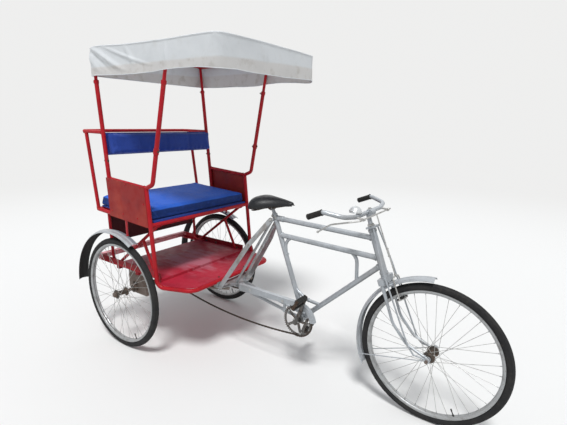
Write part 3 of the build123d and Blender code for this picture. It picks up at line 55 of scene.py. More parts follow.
# Sizes shared with the solids, in millimetres, x from the rear axle
AXLE_SHIFT = 857
FENDER_X, FENDER_Z, REAR_FENDER_R, FRONT_FENDER_R = -40, 352, 394.4, 371.4
WHEELBASE, TRACK, AXLE_Z = 1809, 911, 356
SPOKES, SPOKE_CROSS, HUB_HALF, HUB_END = 36, 60, 33, 42
BB_X, BB_Z = 1085, 335
HEAD_X, HEAD_Z, HEAD_ANGLE = 1563, 665, 70
SEAT_LUG_X, SEAT_LUG_Z = 876, 893
SIDE_Y, SEAT_REAR, SEAT_FRONT = 431, (-222, 869), (298, 836)
POST_FOOT_X, POST_TOP_X, POST_IN, ARM_Z = (-60, 336), (-159.5, 494), 17, 1079
CANOPY_RAIL_Z, BOW_R = 1817.7, 8
FRAME, STEERING = "chassis_and_frame", "steering"
UP, BACK = (0, 0, 1), (-1, 0, 0)


def at(x, y, z):
    """A point given in millimetres from the rear axle, in the frame's metres."""
    return Vector(((x - AXLE_SHIFT) / 1000, y / 1000, z / 1000))


def off(x, y=0, z=0):
    """A short way in millimetres."""
    return Vector((x, y, z)) / 1000


def on_head(s, y=0):
    """A point of the steering axis, s millimetres along it from the crown."""
    return at(HEAD_X - s * cos(radians(HEAD_ANGLE)), y, HEAD_Z + s * sin(radians(HEAD_ANGLE)))


def turned(degrees):
    """Along and across an arm at an angle, seen from the right side."""
    a = radians(degrees)
    return Vector((cos(a), 0, sin(a))), Vector((-sin(a), 0, cos(a)))


def on_seat_tube(z):
    return at(BB_X + (SEAT_LUG_X - BB_X) * (z - BB_Z) / (SEAT_LUG_Z - BB_Z), 0, z)


def on_rear_post(z, side):
    t = (z - SEAT_REAR[1]) / (CANOPY_RAIL_Z - SEAT_REAR[1])
    return at(POST_FOOT_X[0] + (POST_TOP_X[0] - POST_FOOT_X[0]) * t, side * SIDE_Y, z)


def on_front_post(z, side):
    t = (z - ARM_Z) / (CANOPY_RAIL_Z - ARM_Z)
    return at(POST_FOOT_X[1] + (POST_TOP_X[1] - POST_FOOT_X[1]) * t, side * (SIDE_Y - POST_IN * t), z)


def knots(value, table):
    """The straight-line value between the rows of a table of (place, value)."""
    if value <= table[0][0]:
        return table[0][1]
    for (a, u), (b, v) in zip(table, table[1:]):
        if value <= b:
            return u + (v - u) * (value - a) / (b - a)
    return table[-1][1]


def link(name, data):
    """Puts a new object into the scene."""
    piece = bpy.data.objects.new(name, data)
    bpy.context.scene.collection.objects.link(piece)
    return piece


# Camera, fitted to the photograph
SENSOR, FOCAL_PIXELS, PHOTO_WIDTH = 36, 410.3, 567
YAW, PITCH_DOWN, ROLL = radians(34.86), radians(12.26), radians(1)
camera = link("camera", bpy.data.cameras.new("camera"))
bpy.context.scene.camera = camera
camera.data.sensor_width = SENSOR
camera.data.lens = FOCAL_PIXELS / PHOTO_WIDTH * SENSOR
camera.location = (1.3802, -1.8754, 1.4281)
turn = Matrix.Rotation(YAW, 3, "Z") @ Matrix.Rotation(pi / 2 - PITCH_DOWN, 3, "X")
camera.rotation_euler = (turn @ Matrix.Rotation(ROLL, 3, "Z")).to_euler()


class Finish:
    """A node material: one principled shader and what feeds it."""

    def __init__(self, name, colour, rough, metal=0, specular=0.5, **fixed):
        self.mat = bpy.data.materials.new(name)
        self.mat.use_nodes = True
        self.tree = self.mat.node_tree
        self.shader = self.tree.nodes["Principled BSDF"]
        self.shader.inputs["Base Color"].default_value = (*colour, 1)
        self.shader.inputs["Roughness"].default_value = rough
        self.shader.inputs["Metallic"].default_value = metal
        self.shader.inputs["Specular IOR Level"].default_value = specular
        for key, value in fixed.items():
            self.shader.inputs[key.replace("_", " ")].default_value = value
        self.place = self.make("TexCoord").outputs["Object"]

    def make(self, kind, **inputs):
        node = self.tree.nodes.new(f"ShaderNode{kind}")
        for key, value in inputs.items():
            self.feed(node.inputs[key.replace("_", " ")], value)
        return node

    def feed(self, socket, value):
        if isinstance(value, bpy.types.NodeSocket):
            self.tree.links.new(value, socket)
        else:
            socket.default_value = value

    def noise(self, scale, detail, shift=0, stretch=(1, 1, 1)):
        moved = self.make("Mapping", Vector=self.place, Scale=stretch, Location=(shift, shift, shift))
        made = self.make("TexNoise", Vector=moved.outputs[0], Scale=scale, Detail=detail, Roughness=0.55)
        return made.outputs[0]

    def axis(self, name):
        return self.make("SeparateXYZ", Vector=self.place).outputs[name]

    def facing(self, name):
        """How far the surface looks along an axis."""
        normal = self.make("NewGeometry").outputs["Normal"]
        return self.make("SeparateXYZ", Vector=normal).outputs[name]

    def step(self, value, low, high):
        """0 below low, 1 above high, smooth between; low over high turns it round."""
        turned = 1 if low > high else 0
        low, high = sorted((low, high))
        made = self.make(
            "MapRange", Value=value, From_Min=low, From_Max=high, To_Min=turned, To_Max=1 - turned)
        made.interpolation_type = "SMOOTHSTEP"
        return made.outputs[0]

    def patch(self, scale, detail, low, high, shift=0, stretch=(1, 1, 1)):
        """Soft-edged patches, from where the noise is low to where it is high."""
        return self.step(self.noise(scale, detail, shift, stretch), low, high)

    def maths(self, operation, a, b=0):
        made = self.make("Math")
        made.operation = operation
        self.feed(made.inputs[0], a)
        self.feed(made.inputs[1], b)
        return made.outputs[0]

    def times(self, *values):
        made = values[0]
        for value in values[1:]:
            made = self.maths("MULTIPLY", made, value)
        return made

    def blend(self, socket, mask, value):
        """Moves a socket of the shader towards a value where the mask says."""
        target = self.shader.inputs[socket]
        before = target.links[0].from_socket if target.links else target.default_value
        mix = self.make("Mix")
        kind = ("RGBA", 6, 7, 2) if socket == "Base Color" else ("FLOAT", 2, 3, 0)
        mix.data_type, first, second, result = kind
        self.feed(mix.inputs[first], before)
        mix.inputs[second].default_value = value
        self.feed(mix.inputs[0], mask)
        self.feed(target, mix.outputs[result])

    def tint(self, mask, colour):
        self.blend("Base Color", mask, (*colour, 1))

    def bump(self, height, depth, strength):
        made = self.make("Bump", Height=height, Distance=depth, Strength=strength)
        before = self.shader.inputs["Normal"].links
        if before:
            self.feed(made.inputs["Normal"], before[0].from_socket)
        self.feed(self.shader.inputs["Normal"], made.outputs[0])

    def wear(self, tints, rougher=None, grain=None):
        """Tints as (colour, share, patches), then (roughness, patch) and (depth, strength, noise)."""
        for colour, share, *patches in tints:
            self.tint(self.times(share, *(self.patch(*patch) for patch in patches)), colour)
        if rougher:
            self.blend("Roughness", self.patch(*rougher[1:]), rougher[0])
        if grain:
            self.bump(self.noise(*grain[2:]), *grain[:2])


def paint(name, colour, rough, metal, specular, *layers):
    """A finish that needs nothing but patches of noise."""
    f = Finish(name, colour, rough, metal, specular)
    f.wear(*layers)
    return f.mat


def silver_paint():
    f = Finish("silver_paint", (0.37, 0.395, 0.42), 0.30, 0.40)
    f.wear([((0.29, 0.31, 0.33), 1, (9, 5, 0.45, 0.72))])
    # Painted highlight: faces turned upwards are made lighter.
    f.tint(f.times(f.step(f.facing("Z"), 0.25, 0.9), 0.6), (0.56, 0.59, 0.62))
    # Painted shade: faces turned downwards are made darker.
    f.tint(f.times(f.step(f.facing("Z"), -0.1, -0.8), 0.75), (0.15, 0.16, 0.17))
    f.wear((
        ((0.47, 0.495, 0.52), 0.45, (70, 3, 0.5, 0.68, 0, (1, 1, 0.35))),
        ((0.24, 0.22, 0.20), 0.25, (4, 5, 0.5, 0.68, 8)),
        ((0.13, 0.07, 0.045), 1, (230, 4, 0.64, 0.68, 3), (6, 2, 0.42, 0.6, 5))),
        (0.55, 40, 4, 0.35, 0.7, 1), (0.0004, 0.35, 420, 2, 0, (1, 1, 0.4)))
    return f.mat


# places in the frame's metres that the finishes follow
# the first span is the back bar that carries the painted pink highlight
BACK_BAR_X, REAR_FENDERS_X, STRUTS_BEYOND = (-1.165, -1.185), (0.2, 0.1), (0.1705, 0.1712)
# the last span is where the deck is darkened by painted shade
FEET_Y, FEET_BACK_X, FEET_FRONT_X, DECK_SHADE_X = (0.36, 0.02), (-0.98, -0.76), (-0.36, -0.62), (-0.80, -0.97)
BAND_Z, BAND_TILT = (1.757, 1.742), 0.04


def frame_red_pink_highlight():
    """Red frame paint, with a painted pink highlight in patches on the angle bar at the back."""
    f = Finish("frame_red_pink_highlight", (0.32, 0.011, 0.02), 0.46, 0, 0.25)
    f.wear([((0.23, 0.009, 0.014), 1, (9, 4, 0.45, 0.7))])
    back_bar = f.step(f.axis("X"), *BACK_BAR_X)
    # Painted highlight: pink patches over the angle bar at the back.
    f.tint(f.times(back_bar, f.patch(18, 5, 0.3, 0.55, 2)), (0.66, 0.27, 0.30))
    chips = ((0.13, 0.06, 0.04), 0.8, (120, 4, 0.62, 0.68, 6))
    f.wear([chips], (0.66, 30, 4, 0.4, 0.7), (0.0005, 0.35, 200, 3))
    return f.mat


def deck_paint():
    """Red sheet, scuffed pinkish grey where feet and bags slide, and darkened at the back by painted shade.
    """
    f = Finish("deck_paint", (0.44, 0.020, 0.044), 0.46, 0, 0.28)
    f.wear([((0.35, 0.018, 0.038), 1, (8, 5, 0.42, 0.7))])
    x, across = f.axis("X"), f.maths("ABSOLUTE", f.axis("Y"))
    middle = f.times(f.step(across, *FEET_Y), f.step(x, *FEET_BACK_X), f.step(x, *FEET_FRONT_X))
    streaks = f.noise(13, 6, 0, (0.5, 1.6, 1))
    scuffs = f.step(f.maths("ADD", f.times(middle, 0.42), streaks), 0.58, 0.98)
    f.tint(f.times(scuffs, 0.75), (0.52, 0.19, 0.24))
    # Painted shade: the back of the deck is darker in patches.
    painted_shade = f.times(f.step(x, *DECK_SHADE_X), f.patch(6, 4, 0.35, 0.6, 4))
    f.tint(f.times(painted_shade, 0.4), (0.24, 0.06, 0.10))
    chips = ((0.18, 0.07, 0.06), 0.5, (90, 5, 0.6, 0.7, 3))
    f.wear([chips], (0.62, 25, 4, 0.35, 0.7), (0.0006, 0.35, 90, 4))
    return f.mat


def fender_paint():
    """Silver outside; the rear ones are black where they face the wheel and have red struts."""
    f = Finish("fender_paint", (0.45, 0.475, 0.50), 0.32, 0.35)
    f.wear((
        ((0.36, 0.38, 0.40), 1, (10, 5, 0.45, 0.72)), ((0.18, 0.10, 0.065), 0.7, (150, 4, 0.62, 0.7, 2))))
    rear = f.step(f.axis("X"), *REAR_FENDERS_X)
    dx = f.maths("SUBTRACT", f.axis("X"), (FENDER_X - AXLE_SHIFT) / 1000)
    dz = f.maths("SUBTRACT", f.axis("Z"), FENDER_Z / 1000)
    outward = f.maths("ADD", f.times(dx, f.facing("X")), f.times(dz, f.facing("Z")))
    inside = f.times(rear, f.step(outward, -0.02, -0.06))
    f.tint(inside, (0.018, 0.018, 0.018))
    beyond = f.maths("ADD", f.times(dx, dx), f.times(dz, dz))
    strut = f.times(rear, f.step(beyond, *STRUTS_BEYOND))
    f.tint(strut, (0.38, 0.008, 0.016))
    f.blend("Metallic", f.maths("MAXIMUM", inside, strut), 0)
    f.blend("Roughness", inside, 0.8)
    f.wear((), None, (0.0004, 0.35, 300, 3))
    return f.mat


def saddle_vinyl():
    f = Finish("saddle_vinyl", (0.010, 0.011, 0.013), 0.36, 0, 0.32)
    f.wear([((0.018, 0.019, 0.021), 1, (30, 4, 0.5, 0.7))], (0.5, 40, 4, 0.4, 0.7))
    grain = f.make("TexVoronoi", Vector=f.place, Scale=620)
    f.bump(grain.outputs["Distance"], 0.0003, 0.35)
    return f.mat


def weave(f, pitch):
    """The threads of a plain cloth, by place, so that it needs no UV map."""
    x, y, z = (f.maths("SINE", f.times(f.axis(name), 2 * pi / pitch)) for name in "XYZ")
    f.bump(f.maths("ADD", f.maths("ADD", x, y), z), 0.0003, 0.35)


def blue_cloth(name, base, light, dark, side_shade):
    """Blue cover cloth; the last argument is how far painted shade darkens its upright faces against the
    top.
    """
    f = Finish(name, base, 0.66, 0, 0.22, Sheen_Weight=0.05, Sheen_Roughness=0.45)
    f.wear([(light, 1, (5, 4, 0.4, 0.7))])
    # Painted shade: faces that stand upright are darker than the top.
    f.tint(f.times(f.step(f.facing("Z"), 0.8, 0.3), side_shade), [0.25 * c for c in dark])
    f.wear([(dark, 0.35, (40, 5, 0.5, 0.75, 2))], (0.78, 20, 4, 0.4, 0.7), (0.004, 0.22, 26, 4))
    weave(f, 0.0014)
    return f.mat


def canopy_cloth(name, band):
    """Off-white coated cloth; the band is the greyer strip along the lower edge."""
    f = Finish(name, (0.66, 0.685, 0.705), 0.46, 0, 0.4, Sheen_Weight=0.06)
    f.wear((
        ((0.60, 0.625, 0.645), 1, (3.5, 5, 0.45, 0.72)), ((0.53, 0.54, 0.53), 0.35, (14, 6, 0.5, 0.75, 2))))
    if band:
        height = f.maths("SUBTRACT", f.axis("Z"), f.times(f.axis("Y"), BAND_TILT))
        low = f.step(f.maths("ADD", height, f.times(f.noise(7, 3), 0.01)), *BAND_Z)
        f.tint(f.times(low, 0.7), (0.58, 0.555, 0.53))
        f.tint(f.times(low, f.patch(20, 6, 0.5, 0.72, 5), 0.5), (0.38, 0.35, 0.31))
    f.wear((), (0.58, 12, 4, 0.4, 0.7), (0.010, 0.2, 9, 5, 0, (1, 1, 0.5)))
    weave(f, 0.002)
    return f.mat


# Finishes; a tint is (colour, share, patches), a patch (scale, detail, low, high, shift, stretch)
SILVER, PINK_HIGHLIT_RED, DECK, FENDER = silver_paint(), frame_red_pink_highlight(), deck_paint(), fender_paint()
VINYL = saddle_vinyl()
STRAP = paint("strap_paint", (0.35, 0.365, 0.375), 0.36, 0.4, 0.5, (
    ((0.25, 0.25, 0.25), 1, (9, 5, 0.42, 0.7)),
    ((0.19, 0.155, 0.13), 0.6, (15, 6, 0.52, 0.66, 3, (1, 1, 0.6))),
    ((0.12, 0.06, 0.04), 1, (150, 4, 0.66, 0.7, 5))), (0.62, 40, 4, 0.35, 0.7, 1), (0.0005, 0.4, 240, 3))
RED = paint("red_paint", (0.40, 0.008, 0.016), 0.36, 0, 0.2, (
    ((0.30, 0.006, 0.012), 1, (7, 4, 0.45, 0.75)),
    ((0.40, 0.045, 0.032), 0.5, (22, 5, 0.56, 0.75, 2)),
    ((0.11, 0.05, 0.036), 1, (190, 4, 0.65, 0.69, 4), (11, 2, 0.46, 0.6, 7))),
    (0.55, 30, 4, 0.4, 0.7, 1), (0.0004, 0.3, 300, 2))
PANEL = paint("panel_paint", (0.25, 0.013, 0.012), 0.46, 0, 0.25, (
    ((0.34, 0.035, 0.020), 1, (4.5, 3, 0.42, 0.66)),
    ((0.17, 0.010, 0.012), 0.6, (11, 5, 0.5, 0.75, 2)),
    ((0.10, 0.045, 0.033), 0.8, (150, 4, 0.66, 0.7, 4))), (0.62, 20, 4, 0.4, 0.7), (0.0008, 0.3, 40, 4))
MAROON = paint("maroon_sheet", (0.075, 0.007, 0.010), 0.6, 0, 0.25, (
    ((0.05, 0.005, 0.007), 1, (7, 4, 0.4, 0.7)),
    ((0.12, 0.04, 0.035), 0.4, (60, 5, 0.6, 0.7))), None, (0.0008, 0.3, 60, 4))
TYRE = paint("tyre_rubber", (0.014, 0.014, 0.015), 0.7, 0, 0.28, (
    ((0.024, 0.023, 0.022), 1, (14, 4, 0.45, 0.72)),
    ((0.075, 0.064, 0.048), 0.35, (50, 5, 0.58, 0.75, 2))), (0.82, 30, 3, 0.4, 0.7), (0.0004, 0.4, 600, 3))
RIM = paint("rim_steel", (0.38, 0.39, 0.395), 0.40, 0.6, 0.5, (
    ((0.26, 0.262, 0.26), 1, (26, 5, 0.48, 0.7)),
    ((0.13, 0.085, 0.06), 0.7, (170, 5, 0.6, 0.68, 3))), (0.55, 60, 4, 0.4, 0.7), (0.0003, 0.3, 500, 2))
SPOKE = paint("spoke_steel", (0.46, 0.46, 0.45), 0.42, 0.8, 0.5, (
    ((0.30, 0.29, 0.27), 1, (35, 4, 0.5, 0.7)),
    ((0.16, 0.085, 0.05), 0.7, (160, 4, 0.63, 0.7, 5))), None, (0.0002, 0.3, 700, 2))
GREASY = paint("greasy_steel", (0.075, 0.062, 0.052), 0.5, 0.55, 0.5, (
    ((0.115, 0.07, 0.048), 1, (60, 5, 0.5, 0.66)),
    ((0.24, 0.23, 0.22), 0.6, (120, 4, 0.6, 0.7, 4))), (0.75, 90, 4, 0.4, 0.65), (0.0006, 0.5, 260, 4))
BARE = paint("bare_steel", (0.19, 0.155, 0.135), 0.52, 0.55, 0.5, (
    ((0.13, 0.095, 0.075), 1, (18, 5, 0.45, 0.68)),
    ((0.20, 0.095, 0.05), 0.8, (80, 5, 0.58, 0.68, 3))), (0.72, 50, 4, 0.4, 0.7), (0.0006, 0.4, 180, 4))
CRANK = paint("crank_steel", (0.13, 0.125, 0.12), 0.36, 0.7, 0.5, (
    ((0.055, 0.045, 0.038), 1, (30, 5, 0.48, 0.66)),
    ((0.34, 0.34, 0.33), 0.8, (45, 3, 0.62, 0.68, 6)),
    ((0.18, 0.08, 0.04), 0.8, (120, 4, 0.6, 0.68, 2))), (0.6, 60, 4, 0.4, 0.66), (0.0004, 0.4, 300, 3))
CHAIN = paint("chain_steel", (0.05, 0.042, 0.036), 0.45, 0.75, 0.5, (
    ((0.12, 0.062, 0.034), 1, (220, 4, 0.5, 0.65)),), (0.65, 150, 3, 0.4, 0.66), (0.0003, 0.4, 600, 3))
RUBBER = paint("black_rubber", (0.014, 0.0135, 0.013), 0.62, 0, 0.3, (
    ((0.03, 0.027, 0.024), 1, (60, 4, 0.5, 0.72)),), (0.75, 80, 4, 0.4, 0.7), (0.0005, 0.4, 500, 3))
CHROME = paint("bell_chrome", (0.62, 0.64, 0.65), 0.34, 0.45, 0.5, (
    ((0.46, 0.46, 0.44), 1, (90, 4, 0.58, 0.7)),), (0.38, 60, 3, 0.45, 0.7), (0.0002, 0.3, 300, 2))
RUST = paint("rusty_steel", (0.075, 0.05, 0.036), 0.6, 0.35, 0.5, (
    ((0.06, 0.034, 0.024), 1, (70, 5, 0.45, 0.65)),
    ((0.14, 0.085, 0.05), 0.7, (30, 4, 0.52, 0.7, 4))), (0.8, 90, 4, 0.4, 0.65), (0.0006, 0.5, 260, 4))
BLUE = blue_cloth("blue_cloth", (0.020, 0.115, 0.58), (0.026, 0.14, 0.66), (0.012, 0.07, 0.42), 0.9)
# A darker copy of the blue cloth, as painted shade for the backrest; the boards take it too.
SHADED_BLUE = blue_cloth("blue_cloth_shaded", (0.015, 0.042, 0.24), (0.020, 0.055, 0.30), (0.009, 0.022, 0.14), 0)
CANVAS, PIPING = canopy_cloth("canopy_cloth", True), canopy_cloth("piping_cloth", False)

NODE_FINISH = {
    SILVER: ("cycle_frame", "chainstays", "seat_post", "chain_guard", "fork", "duplex_stays", "handlebar"),
    STRAP: ("rear_stays",),
    PANEL: ("arm_panels",),
    RED: ("platform_hoop", "seat_frame", "back_uprights", "leg_frames", "arm_rails",
          "canopy_posts_rear", "canopy_posts_front", "handrail", "canopy_frame", "deck_beams"),
    PINK_HIGHLIT_RED: ("chassis",),
    DECK: ("rear_deck", "front_deck"),
    MAROON: ("seat_apron",),
    FENDER: ("rear_fenders", "front_fender"),
    TYRE: ("front_tyre", "rear_right_tyre", "rear_left_tyre"),
    RIM: ("front_rim", "rear_right_rim", "rear_left_rim"),
    SPOKE: ("front_spokes", "rear_right_spokes", "rear_left_spokes", "brake_gear"),
    GREASY: ("front_hub", "rear_right_hub", "rear_left_hub"),
    BARE: ("rear_axle", "front_axle", "axle_hangers", "drawbars"),
    RUST: ("pedal_right", "pedal_left"),
    CRANK: ("crankset",),
    CHAIN: ("chain",),
    VINYL: ("saddle",),
    RUBBER: ("grips", "pedal_right_rubbers", "pedal_left_rubbers"),
    CHROME: ("bell",),
    BLUE: ("seat_cushion",),
    SHADED_BLUE: ("backrest_cushion", "backrest_board", "seat_board"),
    CANVAS: ("canopy",),
}
for mat, names in NODE_FINISH.items():
    for name in names:
        nodes[name].data.materials.clear()
        nodes[name].data.materials.append(mat)


# Mesh building
WASHER_T, WELD_RIPPLE, EDGE_SOFT = 1.2, 0.22, 1.2


class Shape:
    """One piece, gathered from tubes, turned sections and plates; their sizes are in millimetres."""

    def __init__(self):
        self.verts, self.faces = [], []

    def add(self, verts, faces):
        base = len(self.verts)
        self.verts += [tuple(v) for v in verts]
        self.faces += [tuple(base + i for i in face) for face in faces]

    def grid(self, rows, closed):
        """Quads between rings of points; closed joins the last ring to the first."""
        n, m = len(rows), len(rows[0])
        faces = []
        for i in range(n if closed else n - 1):
            for k in range(m):
                i2, k2 = (i + 1) % n, (k + 1) % m
                faces.append((i * m + k, i * m + k2, i2 * m + k2, i2 * m + k))
        self.add([p for row in rows for p in row], faces)
        return self

    def tube(self, path, radius, sides, closed=False):
        """A round bar along points; the radius is one number or one for each point."""
        path = [Vector(p) for p in path]
        n = len(path)
        radii = radius if isinstance(radius, (list, tuple)) else [radius] * n
        rows, side = [], None
        for i, p in enumerate(path):
            before = path[i - 1] if i or closed else p
            after = path[(i + 1) % n] if i < n - 1 or closed else p
            along = (after - before).normalized()
            side = along.orthogonal() if side is None else side - along * side.dot(along)
            side.normalize()
            other = along.cross(side)
            turns = [2 * pi * k / sides for k in range(sides)]
            rows.append([p + (side * cos(a) + other * sin(a)) * radii[i] / 1000 for a in turns])
        base = len(self.verts)
        self.grid(rows, closed)
        if not closed:
            self.faces.append(tuple(base + k for k in reversed(range(sides))))
            self.faces.append(tuple(base + (n - 1) * sides + k for k in range(sides)))
        return self

    def turn(self, section, centre, axis=(0, -1, 0), segments=48, swell=None):
        """Turns a section of (radius, along the axis) about an axis through the centre."""
        axis, centre = Vector(axis).normalized(), Vector(centre)
        u = Vector((1, 0, 0)) if abs(axis.x) < 0.9 else Vector((0, 0, 1))
        u = (u - axis * u.dot(axis)).normalized()
        v = axis.cross(u)
        rows = []
        for i in range(segments):
            a = 2 * pi * i / segments
            out = u * cos(a) + v * sin(a)
            rows.append([
                centre + (out * (r + (swell(i, k) if swell else 0)) + axis * h) / 1000
                for k, (r, h) in enumerate(section)])
        return self.grid(rows, True)

    def slab(self, outline, thick):
        """A plate: an outline of points, thickened by the vector."""
        n, thick = len(outline), Vector(thick)
        verts = [Vector(p) for p in outline] + [Vector(p) + thick for p in outline]
        faces = [tuple(reversed(range(n))), tuple(range(n, 2 * n))]
        faces += [(i, (i + 1) % n, n + (i + 1) % n, n + i) for i in range(n)]
        self.add(verts, faces)

    def bolt(self, place, axis, head, tall, washer):
        """A hexagon head on its washer, standing on a face."""
        axis = Vector(axis).normalized()
        self.turn([(0.2, 0), (washer, 0), (washer, WASHER_T), (0.2, WASHER_T)], place, axis, 20)
        rounded = [(0.2, 0), (head, 0), (head, tall * 0.8), (head * 0.82, tall), (0.2, tall)]
        self.turn(rounded, place + axis * WASHER_T / 1000, axis, 6)

    def sleeve(self, p, q, inner, outer, segments=28):
        """A short ring round a bar from p to q, its edges softened."""
        long, soft = (q - p).length * 1000, min(EDGE_SOFT, (outer - inner) / 2)
        edge = outer - soft
        section = [(inner, 0), (edge, 0), (outer, soft), (outer, long - soft), (edge, long), (inner, long)]
        self.turn(section, p, q - p, segments)

    def hexagon(self, p, q, inner, outer):
        self.sleeve(p, q, inner, outer, 6)

    def weld(self, centre, axis, radius, size=2.6):
        """A lumpy bead of weld or brass round a bar."""
        turns = [2 * pi * k / 8 for k in range(8)]
        section = [(radius + size * (0.35 + 0.65 * cos(a)), size * sin(a)) for a in turns]
        self.turn(
            section, centre, axis, 30, swell=lambda i, k: WELD_RIPPLE * sin(i * 2.5) * (k in (7, 0, 1)))

    def build(self, name, finish, slot, body=FRAME, stands_for=None, angle=38):
        """Makes the object, gives it its finish and lets it ride on a body."""
        mesh = bpy.data.meshes.new(name)
        mesh.from_pydata(self.verts, [], self.faces)
        work = bmesh.new()
        work.from_mesh(mesh)
        bmesh.ops.recalc_face_normals(work, faces=work.faces)
        work.to_mesh(mesh)
        work.free()
        mesh.shade_smooth()
        mesh.set_sharp_from_angle(angle=radians(angle))
        mesh.materials.append(finish)
        piece = link(name, mesh)
        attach(piece, body)
        if stands_for:
            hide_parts(stands_for)
        return piece


# Wheels
TYRE_HALF = [
    (322.4, 0.01), (322.4, 12), (326.5, 14.6), (331.5, 17.4), (337, 18.9), (342, 18.5), (345.2, 17.4),
    (346, 17.6), (350.6, 14.6), (352.2, 11.8), (351.4, 10.6), (352.8, 9.6), (354.5, 6.6), (353.6, 5.4),
    (354.6, 4.4), (355.9, 2.4), (355.9, 0.01)]
TREAD_STEPS = 198
VALVE_ANGLE = radians(-65)
FLANGE_R, NIPPLE_R, NIPPLE_HALF, BEND = 26, 308.6, 2.6, 1.6
RIM_HALF = [
    (309.5, 0.01), (308.6, 3.6), (306.4, 6), (306.2, 9), (308.8, 12.6), (313.4, 15.4), (318.4, 15.9),
    (321.4, 15.2), (322.2, 12.2), (322.2, 0.01)]
HUB_SECTION = [
    (14.2, 0.01), (14.2, 6), (15.6, 6.6), (15.6, 10), (14.4, 10.6), (14.8, 20), (17, 27), (19.5, 30.6),
    (27.6, 31.6), (29, 32.2), (29, 33.9), (27.6, 34.6), (20.5, 35.4), (18.5, 37.4), (18, 40.6), (16, 42)]


def tread(i, k):
    """The shoulder and edge blocks of the tyre, as small steps in its radius."""
    side = min(k, 2 * len(TYRE_HALF) - 1 - k)
    if side in (7, 8) and i % 3 == 0:
        return -1.4
    if side in (11, 12) and i % 2:
        return -0.9
    return 0


def mirrored(half):
    return [(r, -h) for r, h in reversed(half)]


def wheel(name, body, x, y, bore):
    centre = at(x, y, AXLE_Z)
    tyre = Shape().turn(TYRE_HALF + mirrored(TYRE_HALF), centre, segments=TREAD_STEPS, swell=tread)
    tyre.build(f"{name}_tyre_cover", TYRE, "tyre", body, f"{name}_tyre", angle=60)
    rim = Shape().turn(RIM_HALF + mirrored(RIM_HALF), centre, segments=96)
    rim.build(f"{name}_rim_hoop", RIM, "rim_steel", body, f"{name}_rim", angle=50)
    section = [(bore, HUB_END), (bore, -HUB_END)] + mirrored(HUB_SECTION) + HUB_SECTION
    hub = Shape().turn(section, centre)
    hub.build(f"{name}_hub_shell", GREASY, "hub_dark", body, f"{name}_hub", angle=40)
    wires, nipples = Shape(), Shape()

    def spot(r, a, h):
        return centre + off(r * cos(a), -h, r * sin(a))

    for i in range(SPOKES):
        side = 1 if i % 2 else -1
        lead = SPOKE_CROSS if (i // 2) % 2 else -SPOKE_CROSS
        a_rim = radians(360 * i / SPOKES)
        a_hub = a_rim + radians(lead)
        outward = BEND if (i // 2) % 2 else -BEND
        start = spot(FLANGE_R, a_hub, side * (HUB_HALF + outward))
        end = spot(NIPPLE_R, a_rim, side * NIPPLE_HALF)
        away = (end - start).normalized()
        head = spot(FLANGE_R, a_hub, side * (HUB_HALF - outward * 1.3))
        wires.tube([head, start, start + away * 0.006, end], 1.15, 6)
        nipples.tube([end + away * s for s in (-0.013, -0.003, 0.001)], [1.9, 2.1, 3], 6)
    wires.build(f"{name}_spoke_wires", SPOKE, "spoke_steel", body, f"{name}_spokes", angle=70)
    nipples.build(f"{name}_nipples", RIM, "spoke_steel", body, angle=70)
    stem = Shape()
    for p, q, r in ((309, 299, 4.2), (300, 284, 2.6), (285, 272, 3.6)):
        stem.sleeve(spot(p, VALVE_ANGLE, 0), spot(q, VALVE_ANGLE, 0), 0.2, r, 16)
    stem.build(f"{name}_valve", RUBBER, "tyre", body)


for row in (
        ("front", "front_wheel", WHEELBASE, 0, 4.9), ("rear_right", "rear_wheel_right", 0, -TRACK / 2, 10.1),
        ("rear_left", "rear_wheel_left", 0, TRACK / 2, 10.05)):
    wheel(*row)


# Chain
CHAIN_Y, PITCH, RING_TEETH, SPROCKET_TEETH, CHAIN_SAG = -60, 12.7, 46, 22, 50
CHAIN_BACK_OFF, CHAIN_MEET = radians(9), radians(18)
PLATE_R, PLATE_WAIST, PLATE_T = 4, 3, 0.8


def arc(centre, r, a0, a1, steps):
    turned = [a0 + (a1 - a0) * i / steps for i in range(steps + 1)]
    return [(centre[0] + r * cos(a), centre[1] + r * sin(a)) for a in turned]


def chain_line():
    """The chain's pitch line: round the ring, the slack run, round the sprocket, the tight run."""
    r_ring, r_sprocket = (PITCH / (2 * sin(pi / n)) for n in (RING_TEETH, SPROCKET_TEETH))
    dx, dz = BB_X, BB_Z - AXLE_Z
    gap, tilt = hypot(dx, dz), atan2(dz, dx)
    lean = atan2(r_ring - r_sprocket, sqrt(gap * gap - (r_ring - r_sprocket) ** 2))
    up, low = tilt + pi / 2 + lean, tilt - pi / 2 - lean
    ring_end = low + CHAIN_BACK_OFF - CHAIN_MEET
    sprocket_start = low - CHAIN_BACK_OFF + CHAIN_MEET
    line = arc((BB_X, BB_Z), r_ring, up, ring_end, 60)
    a, b = line[-1], arc((0, AXLE_Z), r_sprocket, sprocket_start, sprocket_start, 1)[0]
    for i in range(1, 40):
        t = i / 40
        sag = 4 * t * (1 - t) * CHAIN_SAG
        line.append((a[0] + (b[0] - a[0]) * t, a[1] + (b[1] - a[1]) * t - sag))
    line += arc((0, AXLE_Z), r_sprocket, sprocket_start, up - 2 * pi, 40)
    return line + [line[0]]


def spaced(line, count):
    """Points along a line, evenly spaced."""
    lengths = [0]
    for p, q in zip(line, line[1:]):
        lengths.append(lengths[-1] + hypot(q[0] - p[0], q[1] - p[1]))
    made, k = [], 0
    for i in range(count):
        want = lengths[-1] * i / count
        while lengths[k + 1] < want:
            k += 1
        t = (want - lengths[k]) / (lengths[k + 1] - lengths[k])
        p, q = line[k], line[k + 1]
        made.append((p[0] + (q[0] - p[0]) * t, p[1] + (q[1] - p[1]) * t))
    return made, lengths[-1]


